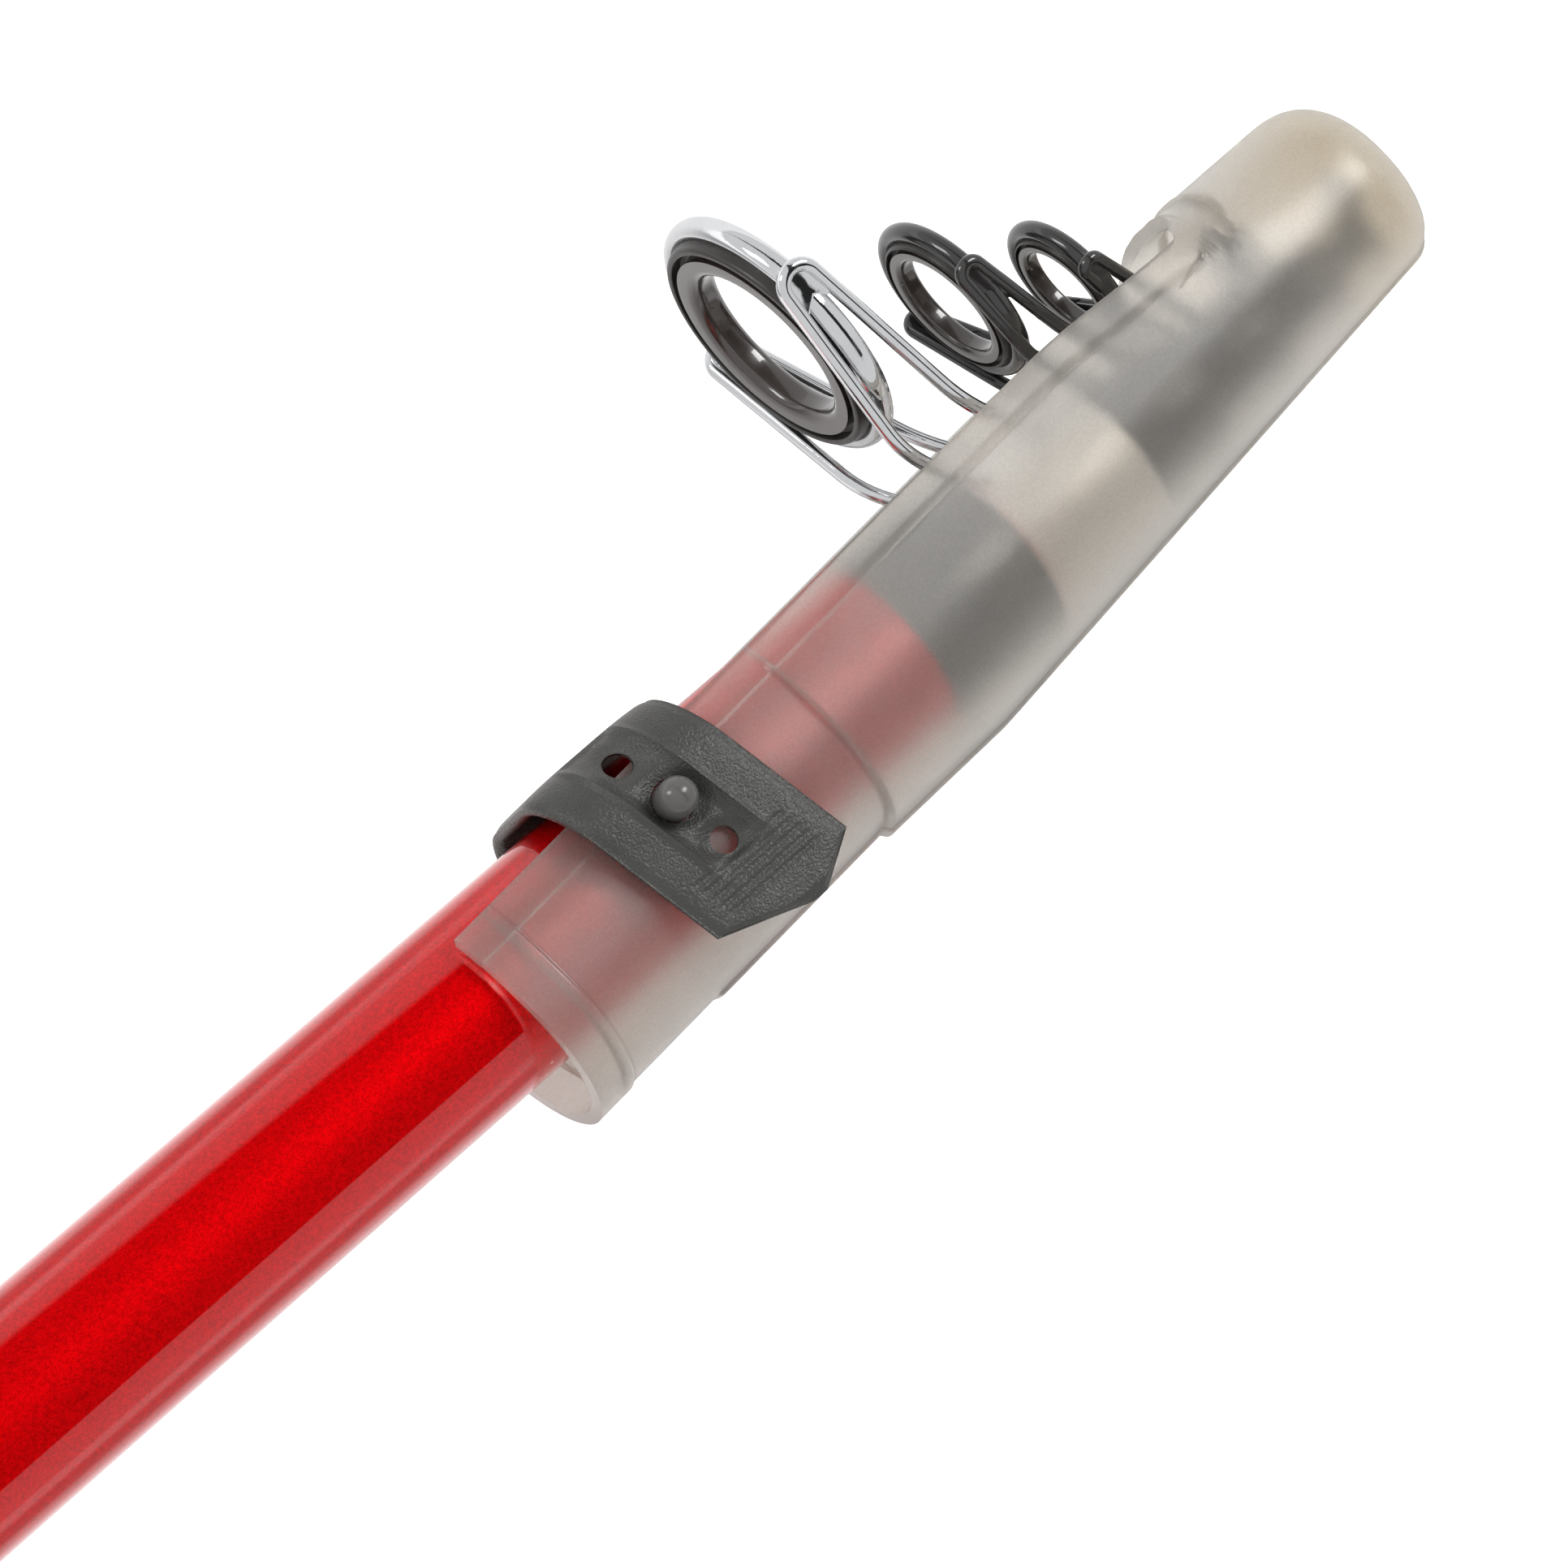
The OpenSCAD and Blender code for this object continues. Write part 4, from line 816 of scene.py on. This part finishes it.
# Strap: a band over the cap and the blank, in millimetres
class Strap:
    PIN_X, PIN_Y = -35.5, 2.0
    WIDTH, THICK = 13.4, 1.3
    HALF, TOP, CORNER = 9.4, 8.15, 5.3
    FAR_END = 4
    END_Y, POINT, APEX, BLUNT = -10.6, 2.6, 1.1, 0.7
    SKEW = math.radians(12)
    PITCH = 4.7
    PIN_HOLE_D, FREE_HOLE_D = 3.5, 2.2
    CROWN, ROUNDING = 0.3, 0.85
    TAPER, THIN_END = 1.1, 0.4
    CHANNEL, CHANNEL_DEPTH = 2.5, 0.5
    LIP_OUT, LIP_HALF, LIP_RISE = 0.3, 0.4, 0.26
    DENT_REACH, DENT_DEPTH = 1.1, 0.45
    RIDGES, RIDGE_PITCH, RIDGE_DEPTH, RIDGE_START = 5, 0.8, 0.11, 0.4
    DRILL_DEPTH = 12

    def __init__(self):
        self.mid = self.HALF + self.THICK / 2
        self.rise = self.TOP + self.THICK / 2
        self.bend = self.CORNER + self.THICK / 2
        self.drop_y = self.rise - self.bend
        self.far_y = self.PIN_Y - self.FAR_END
        arc = self.bend * math.pi / 2
        flat = 2 * (self.mid - self.bend)
        self.runs = [self.drop_y - self.far_y, arc, flat, arc, self.drop_y - self.END_Y]
        self.length = sum(self.runs)

    def line(self, u):
        """Point (y, z) and outward normal of the middle line at the length u from the far end."""
        far, far_arc, flat, near_arc, _ = self.runs
        if u < far:
            return (self.far_y + u, -self.mid), (0, -1)
        u -= far
        if u < far_arc:
            a = u / self.bend
            y = self.drop_y + self.bend * math.sin(a)
            return (y, -self.mid + self.bend - self.bend * math.cos(a)), (math.sin(a), -math.cos(a))
        u -= far_arc
        if u < flat:
            return (self.rise, -self.mid + self.bend + u), (1, 0)
        u -= flat
        if u < near_arc:
            a = u / self.bend
            y = self.drop_y + self.bend * math.cos(a)
            return (y, self.mid - self.bend + self.bend * math.sin(a)), (math.cos(a), math.sin(a))
        u -= near_arc
        return (self.drop_y - u, self.mid), (0, 1)

    def lean(self, y, z):
        return max(0, self.rise - y) * math.tan(self.SKEW) if z > 0 else 0

    def reach(self, y, z, side):
        """Half width on one side, which shrinks to a blunt point at the free end."""
        if z < 0:
            return self.WIDTH / 2
        return ramp(y, self.END_Y, self.END_Y + self.POINT, side * self.APEX + self.BLUNT, self.WIDTH / 2)

    def hole_diameter(self, i):
        return self.PIN_HOLE_D if i == 0 else self.FREE_HOLE_D

    def recess(self, y, x):
        """The channel that joins the holes, between two low lips."""
        away = self.PIN_Y - y
        along = soft(away, -self.PITCH - 3, -self.PITCH - 0.8, 0, 1)
        along *= soft(away, self.PITCH - 0.2, self.PITCH + 3, 1, 0)
        channel = soft(abs(x), self.CHANNEL - 0.9, self.CHANNEL + 0.2, 1, 0) * along * self.CHANNEL_DEPTH
        lip = soft(abs(abs(x) - self.CHANNEL - self.LIP_OUT), 0, self.LIP_HALF, 1, 0) * along * self.LIP_RISE
        return channel - lip

    def dent(self, y, x):
        """The dish round the nearest hole."""
        deepest = 0
        for i in (-1, 0, 1):
            edge = self.hole_diameter(i) / 2
            middle = math.hypot(x, y - self.PIN_Y - i * self.PITCH)
            deepest = max(deepest, soft(middle, edge - 0.2, edge + self.DENT_REACH, self.DENT_DEPTH, 0))
        return deepest

    def groove(self, y, x):
        """The grooves between the finger ridges near the free end."""
        place = (y - self.END_Y - self.POINT - self.RIDGE_START) / self.RIDGE_PITCH
        if not 0 <= place <= self.RIDGES:
            return 0
        depth = self.RIDGE_DEPTH * (0.5 - 0.5 * math.cos(FULL_TURN * place))
        return depth * soft(abs(x), self.WIDTH / 2 - 2.6, self.WIDTH / 2 - 1.6, 1, 0)

    def relief(self, y, z, x):
        """How far the outer face stands below its plain level."""
        if z < 0 or y > self.rise - 0.1:
            return 0
        return self.recess(y, x) + self.dent(y, x) + self.groove(y, x)

    def section(self, left, right):
        """Outline of the band's section as (across, out) points, its edges well rounded."""
        r = min(self.ROUNDING, (left + right) * 0.45)
        c = self.THICK / 2
        count = 60
        flat = left + right - 2 * r
        made = [(-left + r + flat * i / count, c) for i in range(count + 1)]
        turns = [math.pi * i / 8 for i in range(1, 8)]
        made += [(right - r + r * math.sin(a), c * math.cos(a)) for a in turns]
        made += [(right - r - flat * i / count, -c) for i in range(count + 1)]
        made += [(-left + r - r * math.sin(a), -c * math.cos(a)) for a in turns]
        return made

    def ring(self, u):
        """Points round the band at the length u from the far end."""
        (y, z), (ny, nz) = self.line(u)
        middle = mouth_x / MM + self.PIN_X + self.lean(y, z) - self.lean(self.PIN_Y, 1)
        thin = soft(u, self.length - self.TAPER, self.length, 1, self.THIN_END)
        left, right = self.reach(y, z, -1), self.reach(y, z, 1)
        made = []
        for across, out in self.section(left, right):
            if out > 0.3:
                share = (2 * across + left - right) / (left + right)
                out -= self.relief(y, z, across) + self.CROWN * share ** 4
            made.append(Vector((middle + across, y + ny * out * thin, z + nz * out * thin)))
        return made

    def stations(self):
        """Places along the band, closest together on the side with the holes."""
        far, far_arc, flat, near_arc, near = self.runs
        plain = far + far_arc + flat
        made = [plain * i / 40 for i in range(40)]
        made += [plain + near_arc * i / 24 for i in range(24)]
        made += [plain + near_arc + near * i / 150 for i in range(151)]
        return made

    def make(self):
        stations = self.stations()
        around = len(self.section(1, 1))
        rings = [self.ring(u) for u in stations]
        bm = bmesh.new()
        bmesh.ops.create_grid(bm, x_segments=len(stations) - 1, y_segments=around, size=0.5)
        for vert in bm.verts:
            i = round((vert.co.x + 0.5) * (len(stations) - 1))
            j = round((vert.co.y + 0.5) * around)
            vert.co = rings[i][j % around]
        bmesh.ops.remove_doubles(bm, verts=bm.verts, dist=0.001)
        bmesh.ops.holes_fill(bm, edges=[edge for edge in bm.edges if edge.is_boundary], sides=0)
        bmesh.ops.recalc_face_normals(bm, faces=bm.faces)
        bmesh.ops.scale(bm, vec=(MM, MM, MM), verts=bm.verts)
        self.punch(bm)
        piece = new_object("strap_band", bm, 50)
        dress(piece, "strap")
        end = (mouth_x + self.PIN_X * MM, 0, (self.bend - self.mid + 1) * MM)
        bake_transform(piece)
        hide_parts("strap")

    def drill(self, i, diameter, side):
        """A cutter for one hole, in the near side or the far side of the band."""
        bm = bmesh.new()
        radius = diameter / 2 * MM
        bmesh.ops.create_cone(
            bm, cap_ends=True, segments=40, radius1=radius, radius2=radius, depth=self.DRILL_DEPTH * MM
        )
        y = self.PIN_Y + i * self.PITCH
        x = self.PIN_X - i * self.PITCH * math.tan(self.SKEW)
        if side < 0:
            x -= self.lean(self.PIN_Y, 1)
        middle = Vector((mouth_x + x * MM, y * MM, side * 10 * MM))
        bmesh.ops.translate(bm, vec=middle, verts=bm.verts)
        return new_object("drill", bm)

    def punch(self, bm):
        """Cuts the three holes of the free side and the one round the rivet."""
        holder = new_object("band", bm.copy())
        holes = [(i, self.hole_diameter(i), 1) for i in (-1, 0, 1)] + [(0, self.PIN_HOLE_D, -1)]
        drills = [self.drill(*hole) for hole in holes]
        for tool in drills:
            cut = holder.modifiers.new("cut", "BOOLEAN")
            cut.operation = "DIFFERENCE"
            cut.solver = "EXACT"
            cut.object = tool
        graph = bpy.context.evaluated_depsgraph_get()
        made = bpy.data.meshes.new_from_object(holder.evaluated_get(graph))
        bm.clear()
        bm.from_mesh(made)
        for tool in drills + [holder]:
            bpy.data.objects.remove(tool)


def pin():
    """Domed pin that the strap's middle hole snaps over."""
    low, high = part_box("strap_pin")
    radius = (high.y - low.y) / 2
    turns = [QUARTER_TURN * i / 16 for i in range(17)]
    dome = [(high.z - radius + radius * math.sin(a), radius * math.cos(a)) for a in turns]
    bm = bmesh.new()
    spin(bm, polyline(bm, [(low.z, 0), (low.z, radius)] + dome), 64)
    bmesh.ops.remove_doubles(bm, verts=bm.verts, dist=0.001 * MM)
    bmesh.ops.recalc_face_normals(bm, faces=bm.faces)
    upright = Matrix.Rotation(-QUARTER_TURN, 4, "Y")
    middle = Matrix.Translation(((low.x + high.x) / 2, (low.y + high.y) / 2, 0))
    bmesh.ops.transform(bm, matrix=middle @ upright, verts=bm.verts)
    finish_piece("strap_pin_turned", bm, "strap_pin", sharp=50)


# Reel seat's thread, in millimetres
THREAD_START, THREAD_TURNS, THREAD_PITCH = 1.2, 21, 2.0
THREAD_ROOT_R, THREAD_CREST_R = 10.45, 10.95
DECK_Y = 10.1


def thread():
    """Helical thread on the rear part of the reel seat, left bare along the deck."""
    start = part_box("reel_seat")[0].x / MM + THREAD_START
    profile = [
        (start + 0.15, THREAD_ROOT_R), (start + 0.75, THREAD_CREST_R),
        (start + 1.05, THREAD_CREST_R), (start + 1.65, THREAD_ROOT_R),
    ]
    steps = 48
    bm = bmesh.new()
    spin(bm, polyline(bm, profile), steps, THREAD_TURNS, THREAD_PITCH / steps)
    bmesh.ops.bisect_plane(
        bm, geom=everything(bm), plane_co=(0, DECK_Y, 0), plane_no=Y_AXIS, clear_outer=True
    )
    bmesh.ops.recalc_face_normals(bm, faces=bm.faces)
    bmesh.ops.scale(bm, vec=(MM, MM, MM), verts=bm.verts)
    piece = new_object("seat_thread", bm, 35)
    dress(piece, "reel_seat")
    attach(piece, "butt")


# Stage
ROOM_LEVEL = 0.76
GAP_DARKNESS = 0.97
FLOOR_HALF = 4
LAMP_DISTANCE = 1.3


def white_paper():
    """Backdrop that is white to the camera. Where mirrored, it has a strip of painted shade on each side of
    the blank.
    """
    finish = Finish("floor", Roughness=0.9, Specular_IOR_Level=0.0, Emission_Strength=1.0)
    glossy = finish.ray("Is Glossy Ray")
    beside = finish.axis("Y").math("ABSOLUTE")
    behind = finish.span(finish.axis("X"), mouth_x - 50 * MM, mouth_x, 1, 0)
    # Painted shade: a darker band of floor, seen only in reflections, beside the blank behind the mouth.
    painted_shade_strip = finish.span(beside, 25 * MM, 45 * MM) * finish.span(beside, 70 * MM, 130 * MM, 1, 0) * behind
    finish.feed("Base Color", finish.blend(painted_shade_strip * glossy, grey(0.9), grey(0.4)))
    clear = finish.blend(behind - painted_shade_strip, grey(0), grey(0.3))
    mirrored = finish.blend(glossy, grey(0), clear)
    through = finish.blend(finish.ray("Is Transmission Ray"), mirrored, grey(0.26))
    finish.feed("Emission Color", finish.blend(finish.ray("Is Camera Ray"), through, grey(0.75)))
    return finish.data


def make_floor():
    bm = bmesh.new()
    bmesh.ops.create_grid(bm, x_segments=1, y_segments=1, size=FLOOR_HALF)
    floor = new_object("floor", bm)
    floor.location.z = floor_z
    floor.data.materials.append(white_paper())


def make_softbox(name, toward, width, height, energy):
    lamp = bpy.data.lights.new(name, "AREA")
    lamp.shape = "RECTANGLE"
    lamp.size = width
    lamp.size_y = height
    lamp.energy = energy
    box = bpy.data.objects.new(name, lamp)
    bpy.context.scene.collection.objects.link(box)
    toward = Vector(toward).normalized()
    box.location = Vector((mouth_x - AIM_BEHIND_MOUTH, 0, 0)) + toward * LAMP_DISTANCE
    box.rotation_mode = "QUATERNION"
    box.rotation_quaternion = toward.to_track_quat("Z", "Y")


def pale_room():
    """Room with a dark gap overhead, which the lacquer mirrors along its middle."""
    world = Finish("studio", world=True, Color=grey(1))
    along = world.toward("X")
    side = world.toward("Y").math("ARCTAN2", world.toward("Z"))
    dark = world.span(side, math.radians(-61), math.radians(-59))
    dark *= world.span(side + along * 4.5, 2.08, 2.26, 1, 0)
    dark *= world.span(along, 0.1, 0.18) * world.span(along, 0.4, 0.48, 1, 0)
    level = ROOM_LEVEL * (1 - dark * GAP_DARKNESS)
    world.feed("Strength", level.math("MAXIMUM", world.ray("Is Camera Ray")))
    return world.data


def make_light():
    """Pale room with a softbox on each side of the camera."""
    bpy.context.scene.world = pale_room()
    make_softbox("softbox_left", (-0.5, 0.72, 0.48), 0.3, 0.5, 3.5)
    make_softbox("softbox_right", (0.6, 0.08, 0.8), 0.36, 0.6, 7.5)
    bpy.context.scene.view_settings.view_transform = "Standard"


SOFT_EDGED = (
    "mouth_collar", "rear_grip", "fore_grip", "winding_check", "fixed_hood", "sliding_hood", "lock_nut",
    "butt_bumper", "guide_1_sleeve", "guide_2_sleeve", "guide_3_sleeve", "guide_4_sleeve", "strap_rivet",
)

make_camera()
for node, piece in frame["nodes"].items():
    dress(piece, node)
for guide in GUIDES:
    guide.make()
Cap().make()
Strap().make()
pin()
thread()
for node in SOFT_EDGED:
    softened(node)
make_floor()
make_light()
